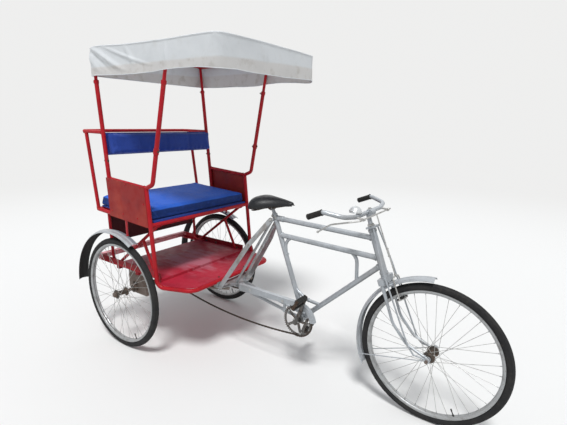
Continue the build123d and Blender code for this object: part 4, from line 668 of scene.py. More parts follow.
def link_plate(shape, p, q, y):
    """A figure-of-eight plate round two pins."""
    a = atan2(q[1] - p[1], q[0] - p[0])
    middle = ((p[0] + q[0]) / 2, (p[1] + q[1]) / 2)
    outline = []
    for centre, side in ((p, 1), (q, -1)):
        start = a + side * pi / 2
        outline += arc(centre, PLATE_R, start, start + pi, 5)
        outline += arc(middle, PLATE_WAIST, a - side * pi / 2, 0, 1)[:1]
    shape.slab([at(x, y - PLATE_T / 2, z) for x, z in outline], off(0, PLATE_T))


def chain():
    line = chain_line()
    _, length = spaced(line, 10)
    count = 2 * round(length / PITCH / 2)
    pins, _ = spaced(line, count)
    shape = Shape()
    for i, p in enumerate(pins):
        q = pins[(i + 1) % count]
        y = 3.7 if i % 2 else 2.8
        for side in (-1, 1):
            link_plate(shape, p, q, CHAIN_Y + side * y)
        for half, radius, sides in ((4.4, 1.7, 8), (2.3, 3.6, 10)):
            shape.tube([at(p[0], CHAIN_Y - half, p[1]), at(p[0], CHAIN_Y + half, p[1])], radius, sides)
    shape.build("chain_links", CHAIN, "chain_dark", stands_for="chain", angle=40)


chain()


# Soft goods
PUFF_FRAMES = 20


def rounded_box(name, size, radius):
    """A closed box with soft edges."""
    work = bmesh.new()
    bmesh.ops.create_cube(work, size=1)
    bmesh.ops.scale(work, vec=size, verts=work.verts)
    bmesh.ops.bevel(work, geom=work.edges[:], offset=radius, segments=4, profile=0.6, affect="EDGES")
    mesh = bpy.data.meshes.new(name)
    work.to_mesh(mesh)
    work.free()
    return link(name, mesh)


def apply_all(piece):
    """Replaces the object's mesh by what its modifiers make of it."""
    graph = bpy.context.evaluated_depsgraph_get()
    made = bpy.data.meshes.new_from_object(piece.evaluated_get(graph))
    piece.modifiers.clear()
    piece.data = made


def remesh(piece, voxel):
    mod = piece.modifiers.new("even", "REMESH")
    mod.mode, mod.voxel_size, mod.use_smooth_shade = "VOXEL", voxel, True
    apply_all(piece)


def puff(piece, pressure, cap, held):
    """Inflates a closed piece as cloth; held points stay, and none moves further than the cap."""
    before = [v.co.copy() for v in piece.data.vertices]
    group = piece.vertex_groups.new(name="held")
    group.add([v.index for v in piece.data.vertices if held(v.co)], 1, "REPLACE")
    cloth = piece.modifiers.new("cloth", "CLOTH")
    settings = cloth.settings
    settings.use_pressure, settings.uniform_pressure_force = True, pressure
    settings.effector_weights.gravity = 0
    settings.vertex_group_mass = "held"
    settings.tension_stiffness = settings.compression_stiffness = 12
    settings.bending_stiffness = 0.4
    cloth.point_cache.frame_start, cloth.point_cache.frame_end = 1, PUFF_FRAMES
    for step in range(1, PUFF_FRAMES + 1):
        bpy.context.scene.frame_set(step)
    apply_all(piece)
    bpy.context.scene.frame_set(1)
    for v, old in zip(piece.data.vertices, before):
        move = v.co - old
        if move.length > cap:
            v.co = old + move.normalized() * cap


def shift_points(piece, move):
    """Moves every point by what move says of its place."""
    for v in piece.data.vertices:
        v.co += move(v.co.copy())
    piece.data.update()


def subdivide(piece):
    mod = piece.modifiers.new("fine", "SUBSURF")
    mod.levels = mod.render_levels = 1
    apply_all(piece)


def pad(name, size, radius, voxel, pressure, cap, held, settle):
    """A cushion: a soft box, inflated, with its folds laid in."""
    piece = rounded_box(name, size, radius)
    remesh(piece, voxel)
    puff(piece, pressure, cap, held)
    shift_points(piece, settle)
    subdivide(piece)
    return piece


def place_pad(piece, centre, lean, finish, node):
    """Sets a cushion in its place, with its finish, rides it on the frame's body and hides the part it
    stands for.
    """
    piece.data.transform(Matrix.Translation(centre) @ Matrix.Rotation(-lean, 4, "Y"))
    piece.data.materials.clear()
    piece.data.materials.append(finish)
    piece.data.shade_smooth()
    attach(piece, FRAME)
    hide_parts(node)


def fold(value, width, height):
    """A soft ridge where the value is nought."""
    return height * exp(-(value / width) ** 2)


CUSHION_X0, CUSHION_X1, CUSHION_HALF, CUSHION_T = -232, 283, 413, 62
SEAT_TUBE_R, SEAT_BOARD_T, SEAT_GAP = 12.5, 9, 0.3
BACK_T, BACK_HEIGHT, BACK_LEAN, BACK_TUFTS = 0.048, 0.134, 0.1054, (-0.21, 0, 0.2)


def seat_cushion():
    slope = atan2(SEAT_FRONT[1] - SEAT_REAR[1], SEAT_FRONT[0] - SEAT_REAR[0])
    long = CUSHION_X1 - CUSHION_X0
    half_l, half_w, half_h = long / 2000, CUSHION_HALF / 1000, CUSHION_T / 2000

    def settle(p):
        out = Vector((0, 0, 0))
        near_side = min(half_l - abs(p.x), half_w - abs(p.y))
        if p.z > 0:
            crown = (1 - (p.x / half_l) ** 4) * (1 - (p.y / half_w) ** 6)
            out.z += 0.0035 * crown
            out.z += 0.0022 * noise.noise(Vector((p.x * 7, p.y * 5, 1.3))) * min(1, near_side / 0.05)
        if p.x > half_l - 0.016:
            pull = noise.noise(Vector((3.1, p.y * 17, p.z * 9)))
            out.x += 0.0022 * pull * min(1, (p.z + half_h) / 0.02)
        corner = half_w - abs(p.y)
        if p.x > half_l - 0.02:
            line = corner - 0.012 - 0.75 * (half_h - p.z)
            out.x += fold(line, 0.0035, 0.0045) - fold(line - 0.009, 0.004, 0.002)
        if corner < 0.02:
            line = half_l - p.x - 0.02 - 0.25 * (half_h - p.z)
            out.y += (1 if p.y > 0 else -1) * fold(line, 0.004, 0.0025)
        if p.z > 0:
            out.z -= fold(near_side - 0.015, 0.0028, 0.0016)
        return out

    size = (long / 1000 - 0.008, 2 * CUSHION_HALF / 1000 - 0.008, CUSHION_T / 1000 - 0.006)
    piece = pad("seat_pad", size, 0.011, 0.0064, 3.2, 0.007, lambda p: p.z < -half_h + 0.012, settle)
    middle = (CUSHION_X0 + CUSHION_X1) / 2 - SEAT_REAR[0]
    lift = SEAT_TUBE_R + SEAT_BOARD_T + 2 * SEAT_GAP + CUSHION_T / 2
    centre = at(
        SEAT_REAR[0] + middle * cos(slope) - lift * sin(slope), 0,
        SEAT_REAR[1] + middle * sin(slope) + lift * cos(slope))
    place_pad(piece, centre, slope, BLUE, "seat_cushion")


def back_cushion():
    low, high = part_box("backrest_cushion")
    half_w, half_h = (high.y - low.y) / 2, BACK_HEIGHT / 2

    def settle(p):
        out = Vector((0, 0, 0))
        if p.x > 0:
            edge = abs(p.z) / half_h
            gathers = noise.noise(Vector((p.y * 26, 4.7, 0.6 * p.z / half_h)))
            out.x += 0.0035 * gathers * edge ** 2
            out.x += 0.003 * noise.noise(Vector((p.y * 9, 1.1, p.z * 14)))
            out.x += 0.002 * (1 - edge ** 2)
            low_edge = max(0, -p.z / half_h)
            out.x += 0.0045 * sin(p.y * 150 + 3 * noise.noise(Vector((p.y * 6, 8.1, 0)))) * low_edge ** 3
            for tuft in BACK_TUFTS:
                out.x -= fold(p.y - tuft, 0.012, 0.0035) * (1 - 0.5 * edge)
        out.z += 0.0012 * noise.noise(Vector((p.y * 21, 2.2, 0))) * (1 if p.z > 0 else -1)
        return out

    size = (BACK_T - 0.007, 2 * half_w - 0.006, BACK_HEIGHT - 0.006)
    piece = pad("back_pad", size, 0.010, 0.006, 3, 0.006, lambda p: p.x < -BACK_T / 2 + 0.01, settle)
    place_pad(piece, (low + high) / 2, BACK_LEAN, SHADED_BLUE, "backrest_cushion")


# Canopy
CANOPY_X0, CANOPY_X1, CANOPY_REAR, CANOPY_FRONT = -184, 860, 458, 428
CANOPY_TOP, ROUND_REAR, ROUND_FRONT, CORNER_FLARE = 1836, 60, 60, 95
ROOF_RISE = ((0, 22), (0.3, 17), (0.65, 9), (1, 4))
SIDE_TOP = (
    (0, 1839), (0.07, 1846), (0.16, 1845), (0.3, 1836), (0.45, 1834), (0.62, 1833), (0.75, 1835),
    (0.87, 1837), (0.96, 1836), (1, 1834))
SIDE_HEM = (
    (0, 1682), (0.08, 1684), (0.3, 1677), (0.42, 1676), (0.55, 1679), (0.63, 1686), (0.74, 1688),
    (0.86, 1686), (0.93, 1681), (1, 1677))
FRONT_HEM = ((-428, 1677), (-300, 1679), (-172, 1677), (110, 1681), (350, 1690), (428, 1692))
SIDE_FOLDS = (
    # start and end as shares of the side, how far down it reaches, width, how far it stands out
    (-0.02, 0.12, 0.96, 0.026, 9), (0.05, 0.33, 0.90, 0.030, 13), (0.16, 0.55, 0.80, 0.022, 8),
    (0.02, 0.22, 0.95, 0.018, -6), (0.34, 0.42, 0.75, 0.016, 5), (0.645, 0.655, 1.05, 0.009, 5))
BOW_X, BOW_END_X = (-160, 168.7, 497.3, 826), (-160, 828)
RING_POINTS, ROOF_RINGS, EDGE_RINGS, VALANCE_RINGS = 360, 24, 4, 26
ROOF_SHARE, EDGE_DROP, LOWEST_HEM, HEM_TURN = 0.975, 9, 1676, 4


def canopy_plan(flare):
    """The canopy's outline from above, as even points; the front right corner opens out by the flare."""
    corners = [
        (CANOPY_X0, -CANOPY_REAR, ROUND_REAR), (CANOPY_X1, -CANOPY_FRONT, ROUND_FRONT + flare),
        (CANOPY_X1, CANOPY_FRONT, ROUND_FRONT), (CANOPY_X0, CANOPY_REAR, ROUND_REAR)]
    line = []
    for i, (x, y, radius) in enumerate(corners):
        here, before, after = Vector((x, y)), Vector(corners[i - 1][:2]), Vector(corners[(i + 1) % 4][:2])
        a = here + (before - here).normalized() * radius
        b = here + (after - here).normalized() * radius
        for k in range(13):
            t = k / 12
            line.append(tuple((1 - t) ** 2 * a + 2 * t * (1 - t) * here + t * t * b))
    points, _ = spaced(line + [line[0]], RING_POINTS)
    return [Vector(p) for p in points]


def along_canopy(x):
    return (x - CANOPY_X0) / (CANOPY_X1 - CANOPY_X0)


def roof_height(x, y):
    """The roof's height: crowned across, less so in front, and sagging a little between the bows."""
    along = along_canopy(x)
    across = min(1, abs(y) / (CANOPY_REAR + (CANOPY_FRONT - CANOPY_REAR) * along))
    between = sin(pi * (x - BOW_X[0]) / (BOW_X[1] - BOW_X[0])) ** 2
    ripple = noise.noise(Vector((x / 90, y / 130, 2)))
    edge = CANOPY_TOP + (knots(along, SIDE_TOP) - CANOPY_TOP) * across ** 3
    return edge + knots(along, ROOF_RISE) * (1 - across ** 1.8) - 3 * between * (1 - across) + 0.8 * ripple


def canopy():
    plan = canopy_plan(0)
    centre = Vector((sum(p.x for p in plan) / len(plan), 0))
    rings = [(ROOF_SHARE * (1 - (1 - i / ROOF_RINGS) ** 1.3), 0) for i in range(1, ROOF_RINGS + 1)]
    for i in range(1, EDGE_RINGS + 1):
        a = pi / 2 * i / (EDGE_RINGS + 1)
        rings.append((ROOF_SHARE + (1 - ROOF_SHARE) * sin(a), EDGE_DROP * (1 - cos(a))))
    rows = []
    for share, drop in rings:
        spots = [centre + (p - centre) * share for p in plan]
        rows.append([at(q.x, q.y, roof_height(q.x, q.y) - drop) for q in spots])
    for ring in range(VALANCE_RINGS + 1):
        t = ring / VALANCE_RINGS
        row = []
        lower = canopy_plan(CORNER_FLARE * t)
        for k, p in enumerate(lower):
            before, after = lower[k - 1], lower[(k + 1) % len(lower)]
            out = Vector(((after - before).y, -(after - before).x)).normalized()
            around, along = k / len(plan) * 2 * pi, along_canopy(p.x)
            near = max(0, min(1, -out.y))
            front = max(0, out.x) ** 2
            hem = knots(p.y, FRONT_HEM) * front + knots(along, SIDE_HEM) * (1 - front)
            hem += 3 * max(0, -out.x) ** 2 + 2 * sin(around * 9 + 0.6) * max(0, out.y)
            top = roof_height(p.x, p.y) - EDGE_DROP
            swing = 3.5 * noise.noise(Vector((around * 5, t * 1.6, 0))) * t
            swing += 2.5 * noise.noise(Vector((around * 13, t * 2.2, 7))) * t
            for start, end, reach, width, height in SIDE_FOLDS:
                away = along - start - (end - start) * t / reach
                fade = sin(pi * min(1, t / reach * 0.94 + 0.06)) ** 0.7 if t < reach else 0
                swing += near * fold(away, width, height) * fade
            if out.x > 0.2 and p.y < 0:
                swing += fold(-p.y - CANOPY_FRONT + 130 * t, 9, 2.5)
            q = p + out * (min(swing, 14) - 3.5)
            row.append(at(q.x, q.y, top + (hem - top) * t))
        rows.append(row)
    shape = Shape().grid(rows, False)
    hub = len(shape.verts)
    shape.verts.append(tuple(at(centre.x, 0, roof_height(centre.x, 0))))
    shape.faces += [(hub, (k + 1) % len(plan), k) for k in range(len(plan))]
    piece = shape.build("canopy_sheet", CANVAS, "canopy_cloth", stands_for="canopy", angle=180)
    drop = (CANOPY_TOP - LOWEST_HEM + HEM_TURN) / 1000
    hem = Shape().tube(rows[-1], 2.2, 8, closed=True)
    piping = hem.build("canopy_hem", PIPING, "canopy_cloth", angle=180)


def canopy_bows():
    """The tubes under the cloth: two rails and four bows, flatter towards the front."""
    shape = Shape()
    rail_z = CANOPY_RAIL_Z + BOW_R

    def rail_y(x):
        return SIDE_Y - POST_IN * (x - POST_TOP_X[0]) / (POST_TOP_X[1] - POST_TOP_X[0])

    for side in (-1, 1):
        shape.tube([at(x, side * rail_y(x), rail_z) for x in BOW_END_X], BOW_R, 16)
        for x in BOW_X:
            shape.weld(at(x, side * (rail_y(x) - 7), rail_z), (0, 1, 0), BOW_R - 0.4, 2)
    for x in BOW_X:
        end = rail_y(x)
        path = []
        for k in range(29):
            y = end * (k / 14 - 1)
            z = min(rail_z + 30 * (1 - abs(y) / end), roof_height(x, y) - 3.2 - BOW_R)
            path.append(at(x, y, z))
        shape.tube(path, BOW_R, 14)
    shape.build("canopy_bows", RED, "carriage_red", stands_for="canopy_frame", angle=60)


# Saddle
SADDLE_ROWS = (
    # x, half width, top, how far the skirt hangs, how round the top is
    (732, 56, 984, 44, 2.4),
    (737, 86, 996, 58, 2.6),
    (750, 102, 1008, 69, 2.7),
    (774, 107, 1015, 74, 2.6),
    (801, 103, 1018, 73, 2.4),
    (828, 89, 1018, 70, 2.2),
    (856, 69, 1017, 62, 2),
    (885, 51, 1015, 53, 1.9),
    (918, 38, 1011, 44, 1.9),
    (952, 28, 1006, 36, 1.9),
    (980, 22, 1001, 28, 2),
    (998, 14, 996, 20, 2),
)
SADDLE_RAIL = (
    (978, 5, 980), (940, 9, 970), (890, 17, 958), (851, 19, 953), (815, 26, 946),
    (785, 44, 936), (760, 56, 931))
CLAMP_X, CLAMP_Z = 851, 952
SPRING_X, SPRING_Y, SPRING_Z, SPRING_R, SPRING_TURNS, SPRING_HEIGHT = 760, 56, 933, 13, 4, 24


def saddle():
    rows = []
    for x, half, top, skirt, power in SADDLE_ROWS:
        row = []
        for k in range(25):
            a = pi * k / 24
            y = half * (1 if cos(a) > 0 else -1) * abs(cos(a)) ** (2 / power)
            z = top - skirt * (1 - abs(sin(a)) ** (2 / power))
            row.append(at(x, y, z))
        for k in range(15):
            t = (k + 1) / 16
            y = -half * 0.9 * (1 - 2 * t)
            row.append(at(x, y, top - skirt + 2 + 0.55 * skirt * (1 - (2 * t - 1) ** 2)))
        rows.append(row)
    shape = Shape().grid(rows, False)
    m = len(rows[0])
    shape.faces.append(tuple(reversed(range(m))))
    shape.faces.append(tuple(range((len(rows) - 1) * m, len(rows) * m)))
    piece = shape.build("saddle_cover", VINYL, "saddle_black", stands_for="saddle", angle=180)
    subdivide(piece)
    seam = Shape()
    middle = rows[0][12]
    for k in (1, 23):
        seam.tube([row[k] for row in rows], 1.6, 8)
    seam.tube([middle + (p - middle) * 1.004 for p in rows[0][1:24]], 1.6, 8)
    seam.build("saddle_seam", RUBBER, "saddle_black", angle=180)
    under = Shape()
    for side in (-1, 1):
        under.tube([at(x, side * y, z) for x, y, z in SADDLE_RAIL], 3.6, 10)
        coil = []
        for k in range(SPRING_TURNS * 14 + 1):
            a = 2 * pi * k / 14
            x, y = SPRING_X + SPRING_R * cos(a), SPRING_Y + SPRING_R * sin(a)
            coil.append(at(x, side * y, SPRING_Z + SPRING_HEIGHT * k / (SPRING_TURNS * 14)))
        under.tube(coil, 1.7, 6)
        for z in (SPRING_Z - 3, SPRING_Z + SPRING_HEIGHT):
            seat = at(SPRING_X, side * SPRING_Y, z)
            under.sleeve(seat, seat + off(0, 0, 3), 0.2, 16)
        under.hexagon(at(CLAMP_X, side * 22, CLAMP_Z), at(CLAMP_X, side * 30, CLAMP_Z), 0.2, 10)
    under.sleeve(at(CLAMP_X, -18, CLAMP_Z), at(CLAMP_X, 18, CLAMP_Z), 12.1, 15.5)
    under.build("saddle_springs", GREASY, "hub_dark", angle=60)


for make in (seat_cushion, back_cushion, canopy_bows, canopy, saddle):
    make()


# Fastenings and fittings of the carriage
ARM_RIVETS = (
    (-52, 884), (60, 876), (200, 868), (-66, 1020), (-68, 1071), (100, 1062), (235, 1052), (262, 960))
STEP_GAPS = (
    # outlines of the plates between the step and the hoop's tube
    ((486, 361), (486, 373), (502, 366), (517, 355), (530, 341), (531, 329)),
    ((531, 329), (530, 341), (540, 325), (545.5, 308), (547, 288)),
    ((318, 392), (487, 361), (487, 372), (404, 402.5), (350, 420), (336, 423), (318, 416)))
CARRIAGE_WELDS = (
    # x, y, z, axis and radius of the bar
    (-61.2, SIDE_Y, 880.6, (-0.105, 0, 1), 12.4), (-223.8, SIDE_Y, 880.8, (-0.154, 0, 1), 10.9),
    (-309, SIDE_Y, 1356.6, (1, 0, 0), 10.9), (-126, SIDE_Y, 1356, (1, 0, 0), 10.9),
    (-69, SIDE_Y, 1078.4, (1, 0, -0.07), 11.1), (259, SIDE_Y, 1054.4, (1, 0, -0.07), 11.1),
    (298, 365, 822, (0.6, 0, -0.8), 9.4), (-200, 365, 498, UP, 10),
    (236, 365, 502, (0.2, 0, 1), 9.4), (287, SIDE_Y, 837, (1, 0, -0.063), 12.4),
    (-222, 365, 856, UP, 9.9), (80, SIDE_Y + 8, 744, UP, 6.9),
    (80, SIDE_Y + 8, 839, UP, 6.9), (298, SIDE_Y - 14, 836, (0, 1, 0), 12.4))
DECK_SCREWS = (
    # x, y, z, then the head's radius, its height and the washer's radius
    (-71, 365, 500, 5, 11, 7.5), (34.5, 365, 500, 5, 11, 7.5),
    (251, 365, 500, 5, 11, 7.5), (530, 118, 483, 4.5, 3, 7.5))


def oblong(x0, x1, z0, z1):
    return ((x0, z0), (x1, z0), (x1, z1), (x0, z1))


def carriage_fittings():
    bands, bolts, rusty, welds, plates, edges, seals, nuts = (Shape() for _ in range(8))
    plates.slab([at(315.6, y, z) for y, z in oblong(-394, 394, 481.2, 499.4)], off(1.8))
    for side in (-1, 1):
        outward = (0, side, 0)
        for on_post, z in ((on_rear_post, 1657), (on_front_post, 1632)):
            bands.sleeve(on_post(z - 17, side), on_post(z + 3, side), 9.6, 15)
            bands.weld(on_post(z + 3, side), UP, 9.4, 2)
            spot = on_post(z - 7, side)
            bolts.hexagon(spot - off(13), spot - off(26), 0.2, 6.5)
        for z, on_post, out in ((1264, on_front_post, 15), (1186, on_rear_post, 12)):
            spot = on_post(z, side)
            rusty.sleeve(spot, spot - off(out + 13), 0.2, 3.2, 12)
            rusty.hexagon(spot - off(out), spot - off(out + 6.5), 3.3, 7.5)
            rusty.hexagon(spot + off(out), spot + off(out + 5), 0.2, 7)
        for x, y, z, *sizes in DECK_SCREWS:
            rusty.bolt(at(x, side * y, z), UP, *sizes)
        for x in (-40, 18, 76):
            bolts.bolt(at(x, side * 350, 468), outward, 7.5, 6, 11)
        for x, z in ARM_RIVETS:
            bands.bolt(at(x, side * (SIDE_Y + 14.8), z), outward, 3.6, 1.8, 5.2)
        for y, z in ((110, 850), (300, 850), (300, 648), (110, 648)):
            rusty.bolt(at(-228, side * y, z), BACK, 5, 3, 8)
        for x, y, z, axis, radius in CARRIAGE_WELDS:
            welds.weld(at(x, side * y, z), axis, radius)
        welds.slab([at(x, side * 375.8, z) for x, z in oblong(-357, 300, 489.5, 501.5)], off(0, side * 4.4))
        for outline in STEP_GAPS:
            plates.slab([at(x, side * y, 480.7) for x, y in outline], off(0, 0, 2.3))
        edges.slab([at(x, side * (SIDE_Y + 12.9), z) for x, z in (
            (284, 825.5), (296, 825.5), (275, 1058), (262, 1058.9))], off(0, side * 1.8))
        for y, out in ((323.9, -side), (368.1, side)):
            face = at(0, side * y, AXLE_Z)
            seals.sleeve(face, face + off(0, out * 3.5), 10.6, 22)
        for x in (-14, 14):
            seals.bolt(at(x, side * 350, AXLE_Z + 34), outward, 6, 5, 9)
        end = at(0, side * (TRACK / 2 + HUB_END), AXLE_Z)
        for inner, outer, bore, radius, sides in ((1.2, 3.2, 10, 17, 28), (3.2, 12.2, 9.9, 15.5, 6)):
            nuts.sleeve(end + off(0, side * inner), end + off(0, side * outer), bore, radius, sides)
    plates.build("step_edges", DECK, "deck_red")
    edges.build("arm_panel_edges", PANEL, "carriage_red")
    bands.build("post_bands", RED, "carriage_red")
    bolts.build("carriage_bolts", SPOKE, "spoke_steel")
    rusty.build("carriage_screws", RUST, "hub_dark")
    welds.build("carriage_welds", RED, "carriage_red", angle=70)
    seals.build("axle_seals", GREASY, "hub_dark")
    nuts.build("rear_axle_nuts", BARE, "hub_dark", "rear_wheel_left")


def fender_edges():
    """The rolled wire edges of the three fenders, and the rivets of the front one's stays."""
    for name, body, x, z, y, radius, half, a0, a1 in (
            ("rear_right_fender_edge", FRAME, FENDER_X, FENDER_Z, -TRACK / 2, REAR_FENDER_R, 32.6, 60, 180),
            ("rear_left_fender_edge", FRAME, FENDER_X, FENDER_Z, TRACK / 2, REAR_FENDER_R, 32.6, 60, 180),
            ("front_fender_edge", STEERING, WHEELBASE, AXLE_Z, 0, FRONT_FENDER_R, 28.6, 92, 206)):
        shape = Shape()
        for side in (-1, 1):
            path = arc((x, z), radius, radians(a0), radians(a1), 70)
            shape.tube([at(px, y + side * half, pz) for px, pz in path], 2.1, 8)
            if body == STEERING:
                px, pz = arc((x, z), radius, radians(a1 - 9), 0, 1)[0]
                shape.bolt(at(px, y + side * (half + 2), pz), (0, side, 0), 4, 3, 6)
        shape.build(name, FENDER, "frame_silver", body, angle=70)


# Fittings of the cycle half
def joint_beads():
    """The filled brass at the frame's tube joints."""
    shape = Shape()
    head = {s: on_head(s) for s in (88, 122, 226)}
    lug, bb = at(SEAT_LUG_X, 0, SEAT_LUG_Z), at(BB_X, 0, BB_Z)
    low_rear = on_seat_tube(797)
    for p, q, radius, near in (
            (head[226], lug, 14.2, 20), (head[122], low_rear, 14.2, 20), (head[88], bb, 14.2, 21),
            (low_rear, head[122], 14.2, 16), (bb, head[88], 14.2, 23), (bb, lug, 14.2, 22),
            (lug, head[226], 14.4, 54)):
        along = (q - p).normalized()
        for k, size in ((0, 3.4), (3.5, 1.6)):
            shape.weld(p + along * (near + k) / 1000, along, radius, size)
    for p, q in (
            (on_seat_tube(677), at(1000, 0, 800)), (at(1098, 0, 447), at(1197, 0, 446.5)),
            (on_seat_tube(497), at(1098, 0, 447))):
        along = (q - p).normalized()
        shape.weld(p + along * 0.017, along, 9.4, 2.8)
    shape.build("joint_beads", SILVER, "frame_silver", angle=80)


def cycle_fittings():
    steel, cups = Shape(), Shape()
    for side in (-1, 1):
        steel.bolt(at(868, side * 38.8, 887), (0, side, 0), 8.5, 7, 12)
        steel.bolt(at(762, side * 115, 732), (0, side, 0), 6, 4, 9)
        steel.bolt(at(590, side * 92, 439.6), UP, 7, 6, 11)
        steel.bolt(at(568, side * 151, 434.4), (0, 0, -1), 7, 6, 11)
        shell = at(BB_X, 0, BB_Z)
        cups.sleeve(shell + off(0, side * 34), shell + off(0, side * 38.5), 8.9, 22.6, 44)
        cups.hexagon(shell + off(0, side * 38.5), shell + off(0, side * 43), 8.9, 19.5)
    steel.sleeve(at(868, -42, 887), at(868, 42, 887), 0.2, 4, 14)
    for x, y, z, *sizes in (
            (742, -71.1, 436, 5, 3.5, 8.5), (984, -71.1, 430, 5, 3.5, 8.5),
            (866, -17.4, 905, 5.5, 5, 8), (886, -17.4, 898, 5.5, 5, 8)):
        steel.bolt(at(x, y, z), (0, -1, 0), *sizes)
    for s, outer in ((44, 22.6), (52.6, 21.9), (261.2, 22.6), (269.8, 21.9)):
        cups.sleeve(on_head(s), on_head(s + 2.4), 18, outer, 44)
    steel.build("cycle_bolts", SPOKE, "spoke_steel")
    cups.build("bearing_rings", RIM, "rim_steel", angle=30)


HEAD_AXIS, BELL_AXIS, BELL_PLACE = (-0.342, 0, 0.94), (0.13, 0.15, 1), at(1428.6, -119, 1020.6)
BELL_SECTION = (
    (0.2, 31), (7, 30.5), (13.6, 28.5), (19, 25.2), (23.6, 20.8), (27.2, 15.4), (29.6, 9.8), (30.9, 5.6),
    (31.6, 5), (31.6, 3.4), (30.6, 2.8), (30.6, 1), (31.2, 0.2), (28.4, -0.6), (0.2, -0.6))
BELL_LINE = ((31.6, 3.4), (32.2, 4.2), (31.6, 5), (31, 4.2))
GRIP_LENGTH, GRIP_RIBS, RIB_PITCH, BRAKE_ANGLE = 0.074, 13, 5.4, 123
GRIP_MOUTH = [(11.2, 0), (14.6, 0), (15.6, 1.2), (15.6, 4)]
GRIP_END = [(14.3, 76), (14.6, 77.5), (14, 80), (11.5, 82), (0.2, 82), (0.2, 75), (11.2, 75)]


def steering_fittings():
    rings, beads, pads, grips = (Shape() for _ in range(4))
    rings.hexagon(on_head(289.6), on_head(298.5), 12.9, 19)
    rings.sleeve(on_head(298.5), on_head(301.5), 11.2, 16.5)
    rings.bolt(at(1450, 0, 1022.4), HEAD_AXIS, 8, 6, 11)
    rod, foot = at(1487.9, 0, 999.97), at(1606, 0, 706)
    for y in (-150, 150):
        rings.sleeve(rod + off(0, y - 7.5), rod + off(0, y + 7.5), 4.1, 7.8, 24)
    for low, high, bore, radius in (
            (0.545, 0.567, 3.1, 7.6), (0.665, 0.687, 3.1, 7.6), (0.965, 0.99, 3.1, 6.8)):
        rings.hexagon(rod.lerp(foot, low), rod.lerp(foot, high), bore, radius)
    knob = [(6.2 * sin(pi * k / 10) + 0.2, -6.2 * cos(pi * k / 10)) for k in range(11)]
    rings.turn(knob, at(1282.9, -214, 921), (0.5, 0, 0.6), 20)
    radial, tangent = turned(BRAKE_ANGLE)
    for side in (-1, 1):
        beads.weld(on_head(0.5, side * 55), HEAD_AXIS, 10.2, 3)
        beads.weld(at(WHEELBASE - 16, side * 55, AXLE_Z + 8), (0.93, 0, -0.35), 7, 2.6)
        beads.weld(at(1451, side * 23, 1004.5), (0, 1, 0), 11.2, 2.6)
        middle = at(WHEELBASE, side * 16 - 4.4, AXLE_Z) + radial * 0.2966
        pads.slab([middle + tangent * t + radial * r for t, r in (
            (-0.023, -0.0034), (0.023, -0.0034), (0.021, 0.0034), (-0.021, 0.0034))], (0, 0.0088, 0))
        inner, end = at(1339.9, side * 272, 1035), at(1267.9, side * 277, 1005)
        run = (end - inner).normalized()
        ribs = []
        for k in range(GRIP_RIBS):
            h = 5 + RIB_PITCH * k
            ribs += [(13, h), (13, h + 1.4), (14, h + 2.2), (14, h + 4.4)]
        grips.turn(GRIP_MOUTH + ribs + GRIP_END, end - run * GRIP_LENGTH, run, 32)
    bell = Shape().turn(BELL_SECTION, BELL_PLACE, BELL_AXIS, 56)
    line = Shape().turn(BELL_LINE, BELL_PLACE, BELL_AXIS, 56)
    rings.build("steering_rings", SPOKE, "spoke_steel", STEERING, angle=40)
    beads.build("steering_beads", SILVER, "frame_silver", STEERING, angle=80)
    pads.build("brake_pads", RUBBER, "grip_rubber", STEERING)
    bell.build("bell_dome", CHROME, "spoke_steel", STEERING, angle=50)
    line.build("bell_rim_line", GREASY, "hub_dark", STEERING)
    grips.build("grip_sleeves", RUBBER, "grip_rubber", STEERING, "grips", angle=50)


CRANK_ANGLE, CRANK_LENGTH = 69, 0.165


def crank_fittings():
    shape = Shape()
    for side, angle in ((-1, CRANK_ANGLE), (1, CRANK_ANGLE + 180)):
        along, across = turned(angle)
        middle = at(BB_X, side * 84, BB_Z) + along * 0.0095
        shape.sleeve(middle - across * 0.018, middle + across * 0.021, 0.2, 4.4, 16)
        shape.hexagon(middle + across * 0.0155, middle + across * 0.0205, 4.3, 7.6)
        eye = at(BB_X, side * 77.4, BB_Z) + along * CRANK_LENGTH
        shape.sleeve(eye, eye - off(0, side * 2.5), 0.2, 6, 20)
    for k in range(5):
        spot = at(BB_X, -64.1, BB_Z) + turned(CRANK_ANGLE + 72 * k)[0] * 0.075
        shape.bolt(spot, (0, -1, 0), 4.8, 2.6, 6.2)
    shape.build("crank_pins", SPOKE, "crank_steel", "crank")


PEDAL_TILT, PEDAL_Y, PEDAL_END, RIB_FIRST, RIB_STEP = 60, 143.5, 46.1, -42.4, 9.6
RIB_SECTION = ((-1, -0.8), (-0.8, -1), (0.8, -1), (1, -0.8), (1, 0.8), (0.8, 1), (-0.8, 1), (-1, 0.8))


def pedal_rubbers():
    u, n = turned(PEDAL_TILT)
    for name, body, x, z, side in (
            ("pedal_right", "right_pedal", 1144.13, 489.04, -1),
            ("pedal_left", "left_pedal", 1025.87, 180.96, 1)):
        ribs, cap = Shape(), Shape()
        for s in (-1, 1):
            for k in range(9):
                y = PEDAL_Y + RIB_FIRST + RIB_STEP * k
                proud = 0 if k % 2 else 1
                middle = at(x, side * (y + 4) - 4.5, z) + u * s * 0.022
                half_u, half_n = (10.2 + 0.7 * proud) / 1000, (12 + proud) / 1000
                ribs.slab([middle + u * p * half_u + n * q * half_n for p, q in RIB_SECTION], off(0, 9))
            end = at(x, side * (PEDAL_Y + s * PEDAL_END), z)
            cap.sleeve(end, end + off(0, s * side * 3), 4.6 if s < 0 else 0.2, 8.6, 24)
            for p in (-0.022, 0.022):
                cap.bolt(end + u * p, (0, s * side, 0), 4.2, 3, 6)
        ribs.build(f"{name}_ribs", RUBBER, "grip_rubber", body, f"{name}_rubbers", angle=30)
        cap.build(f"{name}_ends", RUST, "crank_steel", body)


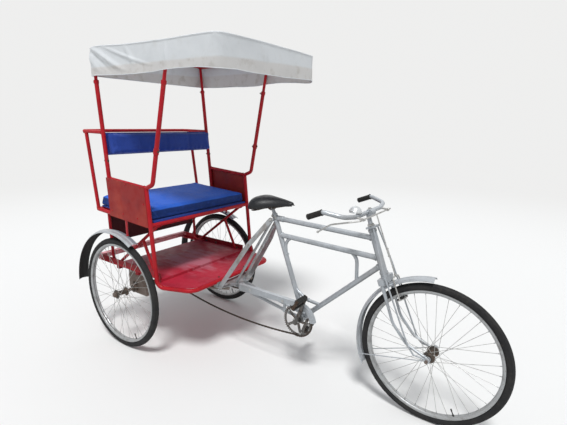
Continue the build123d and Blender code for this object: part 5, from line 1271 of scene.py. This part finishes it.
for make in (
        carriage_fittings, fender_edges, joint_beads, cycle_fittings, steering_fittings, crank_fittings,
        pedal_rubbers):
    make()


# Floor, world and lamps
FLOOR_R, FADE_FROM, FADE_TO, PALE = 30, 3, 9, (0.86, 0.86, 0.855, 1)


def floor():
    """A wide disc that fades into the background's pale grey."""
    piece = link("floor", bpy.data.meshes.new("floor"))
    ring = [(FLOOR_R * cos(2 * pi * i / 64), FLOOR_R * sin(2 * pi * i / 64), 0) for i in range(64)]
    piece.data.from_pydata(ring, [], [tuple(range(64))])
    f = Finish("floor_pale", (0.80, 0.80, 0.79), 0.9)
    away = f.make("VectorMath")
    away.operation = "LENGTH"
    f.feed(away.inputs[0], f.place)
    glow = f.make("Emission", Color=PALE, Strength=1)
    mix = f.make("MixShader", Fac=f.step(away.outputs["Value"], FADE_FROM, FADE_TO))
    f.feed(mix.inputs[1], f.shader.outputs[0])
    f.feed(mix.inputs[2], glow.outputs[0])
    f.feed(f.tree.nodes["Material Output"].inputs["Surface"], mix.outputs[0])
    piece.data.materials.append(f.mat)


def world():
    """A cool sky for the light; the camera and reflections see pale grey."""
    made = bpy.data.worlds.new("studio")
    made.use_nodes = True
    bpy.context.scene.world = made
    tree = made.node_tree
    sky, seen = tree.nodes["Background"], tree.nodes.new("ShaderNodeBackground")
    sky.inputs["Color"].default_value = (0.93, 0.96, 1, 1)
    sky.inputs["Strength"].default_value = 0.45
    seen.inputs["Color"].default_value = PALE
    rays, either, mix = (tree.nodes.new(f"ShaderNode{kind}") for kind in ("LightPath", "Math", "MixShader"))
    either.operation = "MAXIMUM"
    outputs = (
        rays.outputs["Is Camera Ray"], rays.outputs["Is Glossy Ray"], either.outputs[0], sky.outputs[0],
        seen.outputs[0], mix.outputs[0])
    sockets = (*either.inputs[:2], *mix.inputs[:3], tree.nodes["World Output"].inputs["Surface"])
    for output, socket in zip(outputs, sockets):
        tree.links.new(output, socket)


floor()
world()
for name, energy, angle, tilt in (("key", 2.5, 14, (28, 0, 30)), ("fill", 0.3, 60, (50, 0, -120))):
    lamp = link(name, bpy.data.lights.new(name, "SUN"))
    lamp.data.energy, lamp.data.angle = energy, radians(angle)
    lamp.rotation_euler = [radians(a) for a in tilt]
bpy.context.scene.view_settings.view_transform = "Standard"
